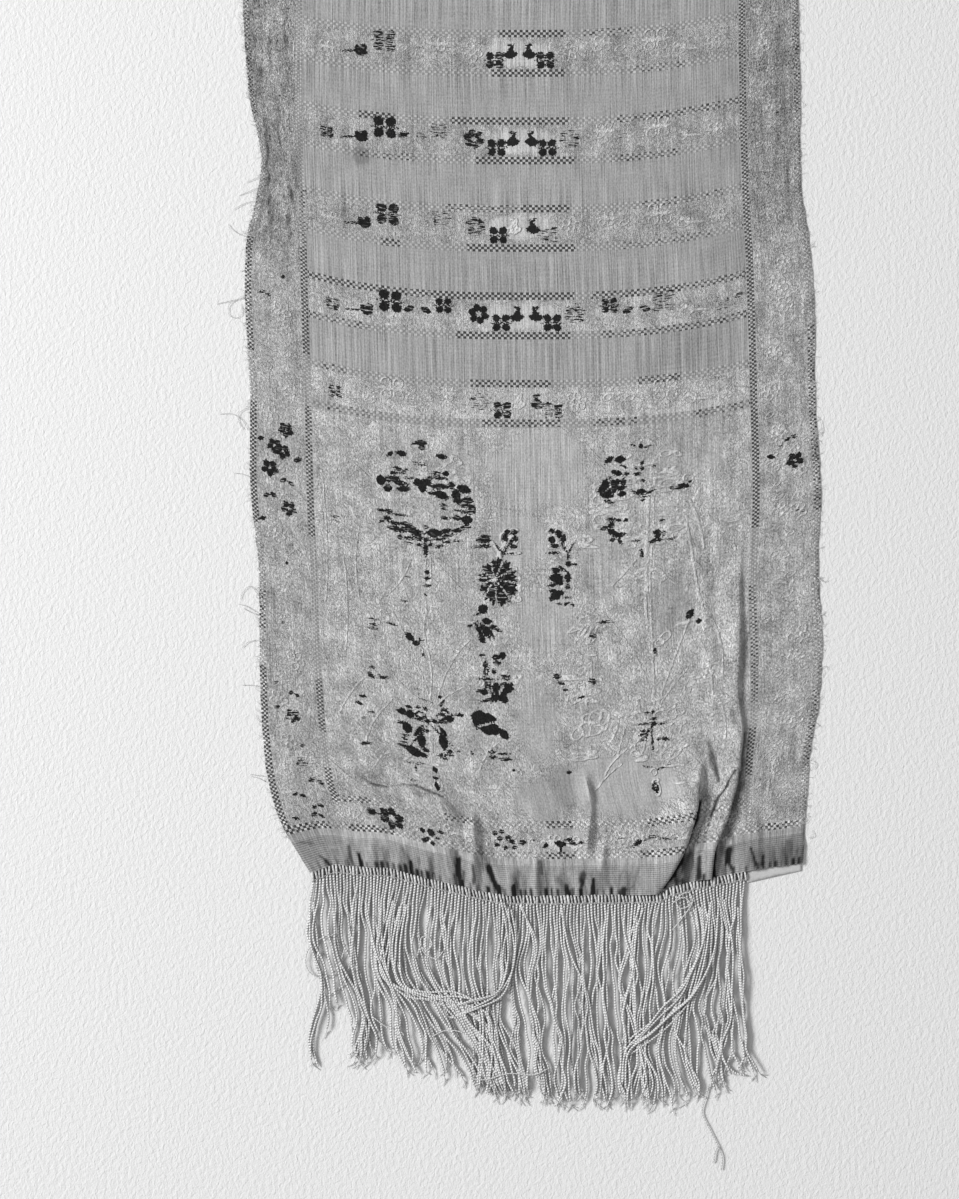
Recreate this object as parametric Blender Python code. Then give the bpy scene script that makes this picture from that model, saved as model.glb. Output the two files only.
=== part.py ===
"""A woven silk sash laid out flat, with a twisted fringe at each end.

The cloth is one wall. Its weave gives the coordinates used here: `across` runs from
the left edge (negative) to the right edge, and `along` runs up from the near hem.
Short tables say how far each warp line is pulled sideways, how the weft bows, and
where pleats, ridges and gathers lie. Tables and lengths are in millimetres, angles
in degrees. The near hem is towards -Y and +Z is up.
"""
import math

import bmesh
import bpy
from mathutils import Vector

MM = 0.001

# Driving sizes
CLOTH_WIDTH = 360.0
CLOTH_LENGTH = 2440.0
WALL = 1.0
SEAM_GAP = 0.3
FLOOR_SNAP = 0.0001
SHARP_ANGLE = 50.0
BORDER_LINE = 142.0
HALF_WIDTH = CLOTH_WIDTH / 2

# Small gathers along the two hems
NEAR_GATHERS = 69
FAR_GATHERS = 40
GATHER_HEIGHT = 0.9
GATHER_REACH = 9.0

# Fringe
HEADING_DEPTH = 5.6
HEADING_HEIGHT = 1.5
STRAND_WIDTH = 1.3
STRAND_HEIGHT = 1.3
STRAND_FLOOR_GAP = 0.4
TIP_TAPER = 0.8
NEAR_STRANDS = 120
FAR_STRANDS = 80
UNEVEN_ENDS = 9.0
GOLDEN_PART = 0.618
STRAND_WAVE = 1.6
WAVE_BENDS = 7.0
WAVE_SHIFT = 0.06
DRIFT_POWER = 1.4
NEAR_SEGMENTS = 4
FAR_SEGMENTS = 3
FAR_FRINGE_INSET = 1.0
HEADING_EASE = 0.06

# Corner tape
TAPE_WALL = 1.0
TAPE_LEFT = 138.4
TAPE_TUCK = 8.0
TAPE_SHOWING_LEFT = 7.4
TAPE_SHOWING_RIGHT = 4.6
TAPE_INSET = 1.0
TAPE_STEPS = 4

# How far from the tape the cloth starts to climb onto it, and over how much it climbs
TAPE_CLEAR = 2.0
TAPE_RISE = 8.0
TAPE_FALL = 9.0

# Sideways pull of five warp lines: left edge, left border line, centre, right border
# line and right edge, for each height above the near hem
WARP_PULL = (
    # along, left_edge, left_line, centre, right_line, right_edge
    (0, 40.0, 28.0, 20.0, -3.0, -5.3),
    (15, 30.0, 25.0, 18.5, -3.0, -4.5),
    (35, 19.0, 20.5, 16.0, -2.8, -3.6),
    (55, 13.0, 14.6, 12.0, -2.5, -2.0),
    (75, 10.0, 11.5, 8.0, -1.5, -0.5),
    (100, 8.0, 8.5, 5.0, 1.0, 4.3),
    (140, 7.0, 6.0, 2.5, 1.5, 6.9),
    (190, 6.5, 4.0, 1.0, 0.2, 4.5),
    (240, 1.1, 1.5, -0.5, 2.6, 5.9),
    (300, 1.0, 0.0, -1.3, 1.4, 2.4),
    (360, -2.4, -2.0, -2.0, -0.5, 1.5),
    (400, -1.0, -3.0, -3.0, -2.0, -2.0),
    (425, 5.0, -3.8, -4.0, -3.6, -6.0),
    (456, 8.0, -5.0, -4.6, -4.6, -7.2),
    (490, 1.0, -6.3, -5.2, -5.6, -7.2),
    (556, -3.7, -5.8, -6.6, -6.3, -8.5),
    (700, -5.0, -4.0, -4.0, -4.0, -5.0),
    (1000, 1.0, 0.5, 0.0, 0.0, -1.0),
    (1500, -2.0, -0.5, 0.5, 1.0, 2.5),
    (2000, 2.0, 1.0, 0.0, -1.0, -1.5),
    (2440, 6.0, 4.0, 0.0, -3.0, -6.0),
)

# How far the weft bows up at each border line, left and right
WEFT_BOW = (
    # along, left, right
    (0, 14.0, 14.0),
    (200, 14.0, 14.0),
    (318, 14.7, 13.8),
    (372, 15.0, 15.4),
    (428, 14.1, 15.4),
    (483, 12.2, 14.7),
    (540, 10.2, 13.4),
    (900, 6.0, 6.0),
    (1500, 3.0, 4.0),
    (2100, 0.0, 0.0),
    (2440, -8.0, -8.0),
)
BOW_POWER = 2.7
BOW_PAST_LINE = 0.55

# Height of the near hem's lower edge, by its place across
HEM_RISE = (
    # across, rise
    (-180, 15.4),
    (-158, 20.5),
    (-135, 18.9),
    (-115, 17.9),
    (-96, 13.1),
    (-69, 7.0),
    (-42, 1.5),
    (-14, 0.6),
    (26, 1.0),
    (62, 1.9),
    (75, 4.0),
    (89, 6.7),
    (103, 10.4),
    (122, 12.8),
    (139, 16.0),
    (150, 18.2),
    (180, 21.8),
)
HEM_INFLUENCE = 150.0

# Two pleats folded over to the right. At each height: where the folded stretch starts,
# its length, and how far the cloth turns back
WIDE_PLEAT = (
    # along, start, length, turn
    (0, 60.7, 13.0, 205),
    (9, 68.0, 14.0, 205),
    (24, 76.6, 15.0, 200),
    (38, 83.5, 14.0, 172),
    (50, 91.7, 12.7, 130),
    (66, 99.0, 10.5, 70),
    (80, 103.0, 10.0, 12),
    (96, 105.0, 10.0, 0),
)
NARROW_PLEAT = (
    # along, start, length, turn
    (0, 111.0, 7.6, 128),
    (19, 113.0, 8.0, 155),
    (37, 119.5, 9.0, 150),
    (50, 124.0, 9.0, 120),
    (60, 127.0, 9.0, 110),
    (91, 130.5, 8.0, 80),
    (116, 127.8, 7.0, 70),
    (157, 129.3, 7.0, 78),
    (196, 131.5, 6.0, 45),
    (216, 132.0, 6.0, 0),
)
PLEATS = (WIDE_PLEAT, NARROW_PLEAT)
PLEAT_RAMP = (24.0, 14.0)
PLEAT_STOPS = (0.0, 0.12, 0.2, 0.28, 0.36, 0.5, 0.64, 0.72, 0.8, 0.88, 1.0)
TURN_STEPS = 24

# Soft ridges, each along a straight crest on the floor plan, steep on one side
RIDGES = (
    # x0, y0, x1, y1, height, reach_left, reach_right
    (-130, 82, -92, 67, 4.2, 13, 6),
    (-98, 68, -54, 60, 3.8, 12, 5),
    (-60, 62, -38, 36, 3.2, 10, 7),
    (-37, 54, -34, 16, 3.0, 7, 6),
    (36, 80, 37, 26, 2.8, 8, 6),
    (46, 36, 47, 12, 2.0, 5, 5),
    (107, 216, 117, 150, 1.6, 7, 7),
    (116, 165, 120, 100, 1.8, 7, 7),
    (-160, 560, -168, 470, 1.6, 9, 8),
    (-150, 500, -158, 430, 1.4, 8, 8),
    (154, 570, 158, 480, 1.3, 9, 8),
    (160, 470, 166, 400, 1.4, 8, 9),
    (-70, 190, -30, 150, 0.9, 14, 14),
    (60, 250, 90, 200, 0.9, 14, 14),
    (-150, 700, -140, 900, 1.2, 16, 16),
    (120, 1180, 150, 1350, 1.4, 18, 16),
    (-60, 1600, -90, 1800, 1.1, 18, 18),
    (40, 2320, 46, 2440, 2.2, 12, 10),
    (-80, 2340, -84, 2440, 2.0, 10, 12),
    (130, 2350, 126, 2440, 1.8, 10, 10),
)

# Each ridge runs on past its table ends and fades, both as parts of its length
RIDGE_OVERRUN = 0.15
RIDGE_FADE = 0.45

# Larger gathers rising from the near hem
HEM_FOLDS = (
    # x, reach_up, height, half_width
    (-118, 22, 1.6, 5.0),
    (-101, 26, 1.8, 5.0),
    (-84, 18, 1.2, 4.0),
    (-66, 24, 1.8, 5.0),
    (-50, 16, 1.2, 4.0),
    (-35, 30, 1.8, 5.0),
    (-12, 30, 2.0, 5.0),
    (4, 28, 2.0, 4.5),
    (17, 16, 1.2, 4.5),
    (31, 22, 1.6, 5.0),
    (60, 20, 1.4, 5.0),
    (146, 24, 1.6, 5.0),
    (160, 18, 1.1, 4.5),
)

# Rows of points up the cloth: where a stretch ends, its number of rows, and its layout
ROW_STRETCHES = (
    # end, rows, layout
    (9, 2, "gathered"),
    (92, 9, "pleated"),
    (216, 8, "creased"),
    (300, 4, "panel"),
    (620, 10, "bands"),
    (2260, 14, "field"),
    (2424, 5, "field"),
    (2440, 2, "far_hem"),
)

# Points across each stretch between the cloth's edges, border lines, centre and pleats
PLEATED_POINTS = (4, 16, 8, 3, 2, 4)
CREASED_POINTS = (3, 8, 5, 3, 2, 3)
PLAIN_POINTS = {"panel": 26, "bands": 18, "field": 12}

# Where rows are joined as if these marks lay straight above each other
JOIN_MARKS = (-HALF_WIDTH, 0.0, 80.0, 94.0, 118.0, 126.0, BORDER_LINE, HALF_WIDTH)

# Near fringe: drift of the strands' tips and their length, by the root's place
FRINGE_LEFT = -139.6
FRINGE_RIGHT = 137.9
NEAR_FALL = (
    # x, drift, length
    (-140, -2.0, 114),
    (-118, 5.0, 117),
    (-100, 9.0, 118),
    (-80, 10.0, 122),
    (-60, 9.0, 128),
    (-40, 6.0, 132),
    (-10, 1.0, 132),
    (40, 0.0, 133),
    (80, 0.0, 134),
    (105, 2.0, 138),
    (125, 5.0, 131),
    (140, 9.0, 126),
)
FAR_FALL = (
    # x, drift, length
    (-180, -5.0, 126),
    (-90, -2.0, 132),
    (0, 1.0, 134),
    (90, 2.0, 131),
    (180, 5.0, 127),
)
LONG_THREAD_ROOT = 110.0
LONG_THREAD_LENGTH = 184.0

MATERIALS = {
    # name: linear colour, roughness
    "worn_silk": ((0.45, 0.45, 0.45), 0.55),
    "fringe_silk": ((0.40, 0.40, 0.40), 0.6),
    "tape": ((0.62, 0.62, 0.62), 0.8),
}


def smooth(value):
    """Return 0 below 0, 1 above 1 and a smooth step between."""
    clamped = min(max(value, 0.0), 1.0)
    return clamped * clamped * (3 - 2 * clamped)


def curve_value(rows, column, at):
    """Read one column of a table on a smooth curve through its rows."""
    if at <= rows[0][0]:
        return rows[0][column]
    if at >= rows[-1][0]:
        return rows[-1][column]
    upper = next(index for index, row in enumerate(rows) if row[0] > at)
    lower = upper - 1
    span = rows[upper][0] - rows[lower][0]
    place = (at - rows[lower][0]) / span

    def slope(index):
        before = max(index - 1, 0)
        after = min(index + 1, len(rows) - 1)
        rise = rows[after][column] - rows[before][column]
        return rise / (rows[after][0] - rows[before][0])

    start, end = rows[lower][column], rows[upper][column]
    chord = (end - start) * (3 - 2 * place) * place * place
    lead_in = slope(lower) * span * place * (1 - place) ** 2
    lead_out = slope(upper) * span * place * place * (1 - place)
    return start + chord + lead_in - lead_out


def pleat_turn(length, turn, part):
    """Walk `part` of the way through a fold that turns back; return its run and drop."""
    run = 0.0
    drop = 0.0
    step = part / TURN_STEPS
    for index in range(TURN_STEPS):
        along_fold = (index + 0.5) * step
        angle = math.radians(turn) * (1 - math.cos(math.tau * along_fold)) / 2
        run += math.cos(angle) * step * length
        drop += math.sin(angle) * step * length
    return run, drop


class Pleat:
    """One pleat cut at one height above the near hem."""

    def __init__(self, table, ramp, along):
        self.ramp = ramp
        self.start = curve_value(table, 1, along)
        self.length = curve_value(table, 2, along)
        self.turn = 0.0
        if along < table[-1][0]:
            self.turn = max(curve_value(table, 3, along), 0.0)
        run, drop = pleat_turn(self.length, self.turn, 1.0)
        self.taken_up = self.length - run
        self.height = drop
        self.end = self.start + self.length

    def pull(self, across):
        """How far the pleat carries this warp line to the right."""
        if across <= self.start:
            return self.taken_up
        if across >= self.end:
            return 0.0
        part = (across - self.start) / self.length
        run, _ = pleat_turn(self.length, self.turn, part)
        return self.taken_up + run - (across - self.start)

    def lift(self, across):
        """How high the pleat holds the cloth at this warp line."""
        if across >= self.end:
            return 0.0
        if across <= self.start:
            return self.height * smooth(1 - (self.start - across) / self.ramp)
        part = (across - self.start) / self.length
        _, drop = pleat_turn(self.length, self.turn, part)
        return self.height - drop


def pleats_at(along):
    """Return both pleats as they are at this height."""
    return [Pleat(table, ramp, along) for table, ramp in zip(PLEATS, PLEAT_RAMP)]


def warp_pull(across, along, pleats):
    """Return the sideways pull of a warp line at this height."""
    pulls = [curve_value(WARP_PULL, column, along) for column in range(1, 6)]
    left_edge, left_line, centre, right_line, right_edge = pulls
    past_line = HALF_WIDTH - BORDER_LINE
    if across < -BORDER_LINE:
        part = (across + HALF_WIDTH) / past_line
        return left_edge + (left_line - left_edge) * part
    if across > BORDER_LINE:
        part = (across - BORDER_LINE) / past_line
        return right_line + (right_edge - right_line) * part
    if across < 0:
        part = (across + BORDER_LINE) / BORDER_LINE
        return left_line + (centre - left_line) * part
    taken_up = sum(pleat.taken_up for pleat in pleats)
    remainder = centre - right_line - taken_up
    pleated = sum(pleat.pull(across) for pleat in pleats)
    return right_line + remainder * (1 - across / BORDER_LINE) + pleated


def weft_rise(across, along):
    """Return how far the weft has bowed up here."""
    column = 1 if across < 0 else 2
    amplitude = curve_value(WEFT_BOW, column, along)
    distance = abs(across) / BORDER_LINE
    if distance <= 1:
        bow = amplitude * distance ** BOW_POWER
    else:
        past = (abs(across) - BORDER_LINE) / (HALF_WIDTH - BORDER_LINE)
        bow = amplitude * (1 + BOW_PAST_LINE * past)
    hem = curve_value(HEM_RISE, 1, across)
    blend = smooth(along / HEM_INFLUENCE)
    return hem * (1 - blend) + bow * blend


def ridge_lift(x, y):
    """Return the height of the soft ridges at a place on the floor plan."""
    lift = 0.0
    for x0, y0, x1, y1, height, reach_left, reach_right in RIDGES:
        run_x, run_y = x1 - x0, y1 - y0
        length = math.hypot(run_x, run_y)
        place = ((x - x0) * run_x + (y - y0) * run_y) / (length * length)
        aside = ((x - x0) * run_y - (y - y0) * run_x) / length
        reach = reach_left if aside * run_y < 0 else reach_right
        side = abs(aside) / reach
        if side >= 1:
            continue
        ends = smooth((place + RIDGE_OVERRUN) / RIDGE_FADE)
        ends *= smooth((1 + RIDGE_OVERRUN - place) / RIDGE_FADE)
        lift += height * ends * smooth(1 - side)
    return lift


def gather_wave(across, count):
    """Return the height, from 0 to 1, of `count` even gathers across the cloth."""
    return (1 - math.cos(math.tau * count * (across / CLOTH_WIDTH + 0.5))) / 2


def hem_lift(x, across, along, pleats):
    """Return the height of the gathers at the two hems, which the pleats flatten."""
    lift = 0.0
    for centre, reach_up, height, half_width in HEM_FOLDS:
        side = abs(x - centre) / half_width
        if side < 1 and along < reach_up:
            lift += height * smooth(1 - side) * smooth(1 - along / reach_up)
    near = GATHER_HEIGHT * smooth(1 - along / GATHER_REACH) * gather_wave(across, NEAR_GATHERS)
    far_along = CLOTH_LENGTH - along
    far = smooth(1 - far_along / (2 * GATHER_REACH)) * gather_wave(across, FAR_GATHERS)
    for pleat in pleats:
        beside = max(pleat.start - across, across - pleat.end)
        near *= smooth(beside * NEAR_GATHERS / CLOTH_WIDTH)
    return lift + near + GATHER_HEIGHT * far


def tape_lift(x, along):
    """Return how high the near hem is held by the tape under its corner."""
    beside = smooth((x - TAPE_LEFT + TAPE_CLEAR + TAPE_RISE) / TAPE_RISE)
    above = smooth(1 - (along - TAPE_TUCK - TAPE_WALL) / TAPE_FALL)
    return (TAPE_WALL + SEAM_GAP) * beside * above


def cloth_point(across, along, pleats):
    """Return the middle of the wall at one crossing of warp and weft."""
    x = across + warp_pull(across, along, pleats)
    y = along + weft_rise(across, along)
    z = WALL / 2 + sum(pleat.lift(across) for pleat in pleats)
    z += ridge_lift(x, y)
    z += hem_lift(x, across, along, pleats)
    z += tape_lift(x, along)
    return Vector((x, y, z))


def spread(start, end, count):
    """Return `count` even steps from start, without the end."""
    return [start + (end - start) * index / count for index in range(count)]


def row_columns(layout, pleats):
    """Return the warp lines that one row of points crosses."""
    if layout in PLAIN_POINTS:
        return spread(-HALF_WIDTH, HALF_WIDTH, PLAIN_POINTS[layout]) + [HALF_WIDTH]
    if layout == "far_hem":
        return spread(-HALF_WIDTH, HALF_WIDTH, 2 * FAR_GATHERS) + [HALF_WIDTH]
    wide, narrow = ([p.start + p.length * stop for stop in PLEAT_STOPS] for p in pleats)
    if layout == "gathered":
        even = spread(-HALF_WIDTH, HALF_WIDTH, 2 * NEAR_GATHERS) + [HALF_WIDTH]
        room = CLOTH_WIDTH / NEAR_GATHERS / 4
        open_cloth = [
            line
            for line in even
            if all(line < fold[0] - room or line > fold[-1] + room for fold in (wide, narrow))
        ]
        return sorted(open_cloth + wide + narrow)
    if layout == "creased":
        edge, left, middle, between, beyond, border = CREASED_POINTS
        wide = [wide[0], wide[-1]]
    else:
        edge, left, middle, between, beyond, border = PLEATED_POINTS
    columns = spread(-HALF_WIDTH, -BORDER_LINE, edge)
    columns += spread(-BORDER_LINE, 0, left)
    columns += spread(0, wide[0], middle)
    columns += wide
    columns += spread(wide[-1], narrow[0], between)[1:]
    columns += narrow
    columns += spread(narrow[-1], BORDER_LINE, beyond)[1:]
    return columns + spread(BORDER_LINE, HALF_WIDTH, border) + [HALF_WIDTH]


def join_key(across, pleats):
    """Return a warp line's place once the pleats are set straight above each other."""
    wide, narrow = pleats
    marks = (-HALF_WIDTH, 0.0, wide.start, wide.end, narrow.start, narrow.end)
    marks += (BORDER_LINE, HALF_WIDTH)
    upper = next((i for i, mark in enumerate(marks) if mark > across), len(marks) - 1)
    start, end = marks[upper - 1], marks[upper]
    part = (across - start) / (end - start)
    return JOIN_MARKS[upper - 1] + (JOIN_MARKS[upper] - JOIN_MARKS[upper - 1]) * part


def cloth_rows():
    """Return the rows of the wall's middle, each a list of (join key, point)."""
    rows = []
    start = 0.0
    for end, count, layout in ROW_STRETCHES:
        heights = spread(start, end, count)
        if end == CLOTH_LENGTH:
            heights.append(CLOTH_LENGTH)
        for along in heights:
            pleats = pleats_at(along)
            columns = row_columns(layout, pleats)
            rows.append(
                [(join_key(line, pleats), cloth_point(line, along, pleats)) for line in columns]
            )
        start = end
    return rows


def stitch(lower, upper, first_lower, first_upper):
    """Join two rows that may have different numbers of points with triangles."""
    faces = []
    low, high = 0, 0
    while low < len(lower) - 1 or high < len(upper) - 1:
        step_low = low < len(lower) - 1
        if step_low and high < len(upper) - 1:
            step_low = lower[low + 1][0] + lower[low][0] <= upper[high + 1][0] + upper[high][0]
        if step_low:
            faces.append((first_lower + low, first_lower + low + 1, first_upper + high))
            low += 1
        else:
            faces.append((first_lower + low, first_upper + high + 1, first_upper + high))
            high += 1
    return faces


def middle_mesh(rows):
    """Return the points and triangles of the wall's middle, and each row's start."""
    points = [point for row in rows for _, point in row]
    starts = [0]
    for row in rows[:-1]:
        starts.append(starts[-1] + len(row))
    faces = []
    for index in range(len(rows) - 1):
        faces += stitch(rows[index], rows[index + 1], starts[index], starts[index + 1])
    return points, faces, starts


def wall_from_middle(rows):
    """Return a closed wall around the cloth's middle, as points and faces."""
    points, faces, starts = middle_mesh(rows)
    joined = [[] for _ in points]
    for face in faces:
        a, b, c = (points[index] for index in face)
        normal = (b - a).cross(c - a)
        for index in face:
            joined[index].append(normal)
    upper, lower = [], []
    for point, normals in zip(points, joined):
        mean = sum((normal.normalized() for normal in normals), Vector()).normalized()
        offset = mean * WALL / 2
        upper.append(point + offset)
        under = point - offset
        if under.z < FLOOR_SNAP:
            under.z = 0.0
        lower.append(under)
    count = len(points)
    ends = [start + len(row) - 1 for start, row in zip(starts, rows)]
    rim = list(range(starts[0], ends[0] + 1))
    rim += ends[1:]
    rim += list(range(ends[-1] - 1, starts[-1] - 1, -1))
    rim += starts[-2:0:-1]
    shell = list(faces)
    shell += [tuple(count + index for index in reversed(face)) for face in faces]
    for here, there in zip(rim, rim[1:] + rim[:1]):
        shell.append((here, here + count, there + count, there))
    return upper + lower, shell


def hem_limit(points, x, side):
    """Return a smooth line just clear of the wall, at the near (-1) or far (+1) hem."""
    reach = max(side * point.y - HEADING_EASE * (point.x - x) ** 2 for point in points)
    return side * reach


def uneven(index):
    """Return a repeatable number from 0 to 1 for one strand."""
    return math.modf(index * GOLDEN_PART)[0]


def strand_path(root, fall, index, segments):
    """Return a strand's plan points as (sideways, downward) from its root."""
    drift = curve_value(fall, 1, root)
    full = curve_value(fall, 2, root)
    length = full - UNEVEN_ENDS * uneven(index)
    if fall is NEAR_FALL and abs(root - LONG_THREAD_ROOT) < STRAND_WIDTH:
        length = LONG_THREAD_LENGTH
        segments += 1
    path = []
    for step in range(1, segments + 1):
        down = length * step / segments
        part = down / full
        grown = min(part, 1.0)
        wave = STRAND_WAVE * grown * math.sin(WAVE_BENDS * grown + WAVE_SHIFT * root)
        path.append((drift * part ** DRIFT_POWER + wave, down))
    return path


def fringe(name, hem_points, ends, count, fall, side, segments, material):
    """Build a heading with its strands fused to it, beyond one hem."""
    left, right = ends
    pitch = (right - left) / count
    half = STRAND_WIDTH / 2
    points, faces = [], []

    def add(x, y, z):
        points.append(Vector((x, y, z)))
        return len(points) - 1

    columns = []
    stations = [left] + [left + pitch * (index + 0.5) for index in range(count)] + [right]
    for index, x in enumerate(stations):
        near = hem_limit(hem_points, x, side) + side * SEAM_GAP
        far = near + side * HEADING_DEPTH
        inner = (add(x, near, 0), add(x, near, HEADING_HEIGHT))
        if index in (0, len(stations) - 1):
            corner = (add(x, far, 0), add(x, far, HEADING_HEIGHT))
            columns.append((inner, corner[0], corner[0], corner[1], far))
            continue
        outer = (add(x - half, far, 0), add(x + half, far, 0), add(x, far, HEADING_HEIGHT))
        columns.append((inner, *outer, far))
    for before, after in zip(columns, columns[1:]):
        (base_a, top_a), _, foot_a, crest_a, _ = before
        (base_b, top_b), foot_b, _, crest_b, _ = after
        faces.append((top_a, crest_a, crest_b, top_b))
        faces.append((base_a, top_a, top_b, base_b))
        faces.append((base_a, base_b, foot_b, foot_a))
        faces.append((foot_a, foot_b, crest_b, crest_a))
    for inner, foot_left, foot_right, _, _ in columns[1:-1]:
        faces.append((inner[0], foot_right, foot_left))
    (base, top), foot, _, crest, _ = columns[0]
    faces.append((base, foot, crest, top))
    (base, top), foot, _, crest, _ = columns[-1]
    faces.append((base, top, crest, foot))
    for index, column in enumerate(columns[1:-1]):
        ring = column[1:4]
        root = stations[index + 1]
        path = strand_path(root, fall, index, segments)
        for sideways, down in path:
            x = root + sideways
            y = column[4] + side * down
            taper = TIP_TAPER if (sideways, down) == path[-1] else 1.0
            low, high = STRAND_FLOOR_GAP, STRAND_FLOOR_GAP + STRAND_HEIGHT * taper
            next_ring = (
                add(x - half * taper, y, low),
                add(x + half * taper, y, low),
                add(x, y, high),
            )
            for a, b in ((0, 1), (1, 2), (2, 0)):
                faces.append((ring[a], ring[b], next_ring[b], next_ring[a]))
            ring = next_ring
        faces.append(ring)
    return make_piece(name, points, faces, material)


def tape(name, hem_points, material):
    """Build the tape that lies under the near hem's right corner."""
    right = max(point.x for point in hem_points) - TAPE_INSET
    points, faces = [], []
    stations = spread(TAPE_LEFT, right, TAPE_STEPS) + [right]
    for index, x in enumerate(stations):
        part = index / TAPE_STEPS
        showing = TAPE_SHOWING_LEFT + (TAPE_SHOWING_RIGHT - TAPE_SHOWING_LEFT) * part
        edge = hem_limit(hem_points, x, -1)
        for y in (edge - showing, edge + TAPE_TUCK):
            points += [Vector((x, y, 0)), Vector((x, y, TAPE_WALL))]
    for index in range(TAPE_STEPS):
        a, b = 4 * index, 4 * index + 4
        faces.append((a + 1, b + 1, b + 3, a + 3))
        faces.append((a, a + 2, b + 2, b))
        faces.append((a, b, b + 1, a + 1))
        faces.append((a + 2, a + 3, b + 3, b + 2))
    last = 4 * TAPE_STEPS
    faces.append((0, 1, 3, 2))
    faces.append((last, last + 2, last + 3, last + 1))
    return make_piece(name, points, faces, material)


def make_piece(name, points, faces, material):
    """Make one named object, its points in millimetres and its faces turned outward."""
    mesh = bpy.data.meshes.new(name)
    mesh.from_pydata([point * MM for point in points], [], faces)
    body = bmesh.new()
    body.from_mesh(mesh)
    bmesh.ops.recalc_face_normals(body, faces=body.faces)
    body.to_mesh(mesh)
    body.free()
    piece = bpy.data.objects.new(name, mesh)
    bpy.context.scene.collection.objects.link(piece)
    mesh.materials.append(material)
    mesh.shade_smooth()
    mesh.set_sharp_from_angle(angle=math.radians(SHARP_ANGLE))
    return piece


def make_material(name):
    """Make one of the sash's materials."""
    colour, roughness = MATERIALS[name]
    material = bpy.data.materials.new(name)
    material.use_nodes = True
    shader = material.node_tree.nodes["Principled BSDF"]
    shader.inputs["Base Color"].default_value = (*colour, 1.0)
    shader.inputs["Roughness"].default_value = roughness
    shader.inputs["Metallic"].default_value = 0.0
    return material


def centre_on_origin(pieces):
    """Move the pieces so that the middle of their common box stands on the origin."""
    corners = [vertex.co for piece in pieces for vertex in piece.data.vertices]
    middle_x = (min(c.x for c in corners) + max(c.x for c in corners)) / 2
    middle_y = (min(c.y for c in corners) + max(c.y for c in corners)) / 2
    for piece in pieces:
        piece.location = (-middle_x, -middle_y, 0.0)


def main():
    """Build the sash."""
    for old in list(bpy.data.objects):
        bpy.data.objects.remove(old, do_unlink=True)
    silk, twisted, pale = (make_material(name) for name in MATERIALS)
    rows = cloth_rows()
    points, faces = wall_from_middle(rows)
    cloth = make_piece("woven_cloth", points, faces, silk)
    half = len(points) // 2
    near_row = points[: len(rows[0])] + points[half : half + len(rows[0])]
    near_ends = (FRINGE_LEFT, FRINGE_RIGHT)
    near = fringe(
        "near_fringe", near_row, near_ends, NEAR_STRANDS, NEAR_FALL, -1, NEAR_SEGMENTS, twisted
    )
    far_row = points[half - len(rows[-1]) : half] + points[-len(rows[-1]) :]
    far_left = min(point.x for point in far_row) + FAR_FRINGE_INSET
    far_right = max(point.x for point in far_row) - FAR_FRINGE_INSET
    far_ends = (far_left, far_right)
    far = fringe(
        "far_fringe", far_row, far_ends, FAR_STRANDS, FAR_FALL, 1, FAR_SEGMENTS, twisted
    )
    corner = tape("corner_tape", near_row, pale)
    centre_on_origin([cloth, near, far, corner])


main()
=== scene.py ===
"""The looks of a worn woven silk sash, laid out flat with a fringe at each end.

Places on the cloth are given by its weave, in millimetres: `across` from the middle
warp thread, positive to the right, and `along` up from the near hem. Drape turns them
into places on the floor plan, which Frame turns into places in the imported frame.
Marks seen on the photograph are in its pixels, in columns named photo_x and photo_y,
and Drape turns those into the weave's own places.
"""
from __future__ import annotations

import logging
import math
from dataclasses import dataclass, field
from enum import Enum
from typing import Any, Callable, NamedTuple, Sequence

import bpy
import numpy as np
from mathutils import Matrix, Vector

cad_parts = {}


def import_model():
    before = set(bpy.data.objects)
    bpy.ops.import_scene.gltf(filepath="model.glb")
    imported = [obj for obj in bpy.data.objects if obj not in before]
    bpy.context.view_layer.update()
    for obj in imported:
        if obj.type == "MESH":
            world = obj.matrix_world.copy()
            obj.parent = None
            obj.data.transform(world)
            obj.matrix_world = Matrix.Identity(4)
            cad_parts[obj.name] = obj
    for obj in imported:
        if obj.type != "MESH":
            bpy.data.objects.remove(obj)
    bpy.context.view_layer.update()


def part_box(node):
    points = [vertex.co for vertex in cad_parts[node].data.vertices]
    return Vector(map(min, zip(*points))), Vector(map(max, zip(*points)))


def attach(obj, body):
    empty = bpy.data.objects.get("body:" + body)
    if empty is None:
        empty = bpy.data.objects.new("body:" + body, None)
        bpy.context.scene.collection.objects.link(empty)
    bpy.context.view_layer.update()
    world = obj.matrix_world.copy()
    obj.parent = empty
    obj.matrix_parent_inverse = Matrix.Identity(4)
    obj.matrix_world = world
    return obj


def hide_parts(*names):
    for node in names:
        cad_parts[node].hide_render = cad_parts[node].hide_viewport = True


LOG = logging.getLogger("sash")
MM = 0.001
Array = np.ndarray
Table = Sequence[Sequence[float]]
Range = tuple[float, float]

# Driving sizes, the same as the solids' own
CLOTH_WIDTH = 360.0
CLOTH_LENGTH = 2440.0
HALF_WIDTH = CLOTH_WIDTH / 2
HALF_LENGTH = CLOTH_LENGTH / 2
WALL = 1.0
SEAM_GAP = 0.3
BORDER_LINE = 142.0

# The photograph: its scale, the pixel over the plan's zero, and its frame
MM_PER_PIXEL = 0.64
PHOTO_ZERO_X = 530.0
PHOTO_ZERO_Y = 897.0
PHOTO_WIDTH = 959
PHOTO_HEIGHT = 1199

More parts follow.
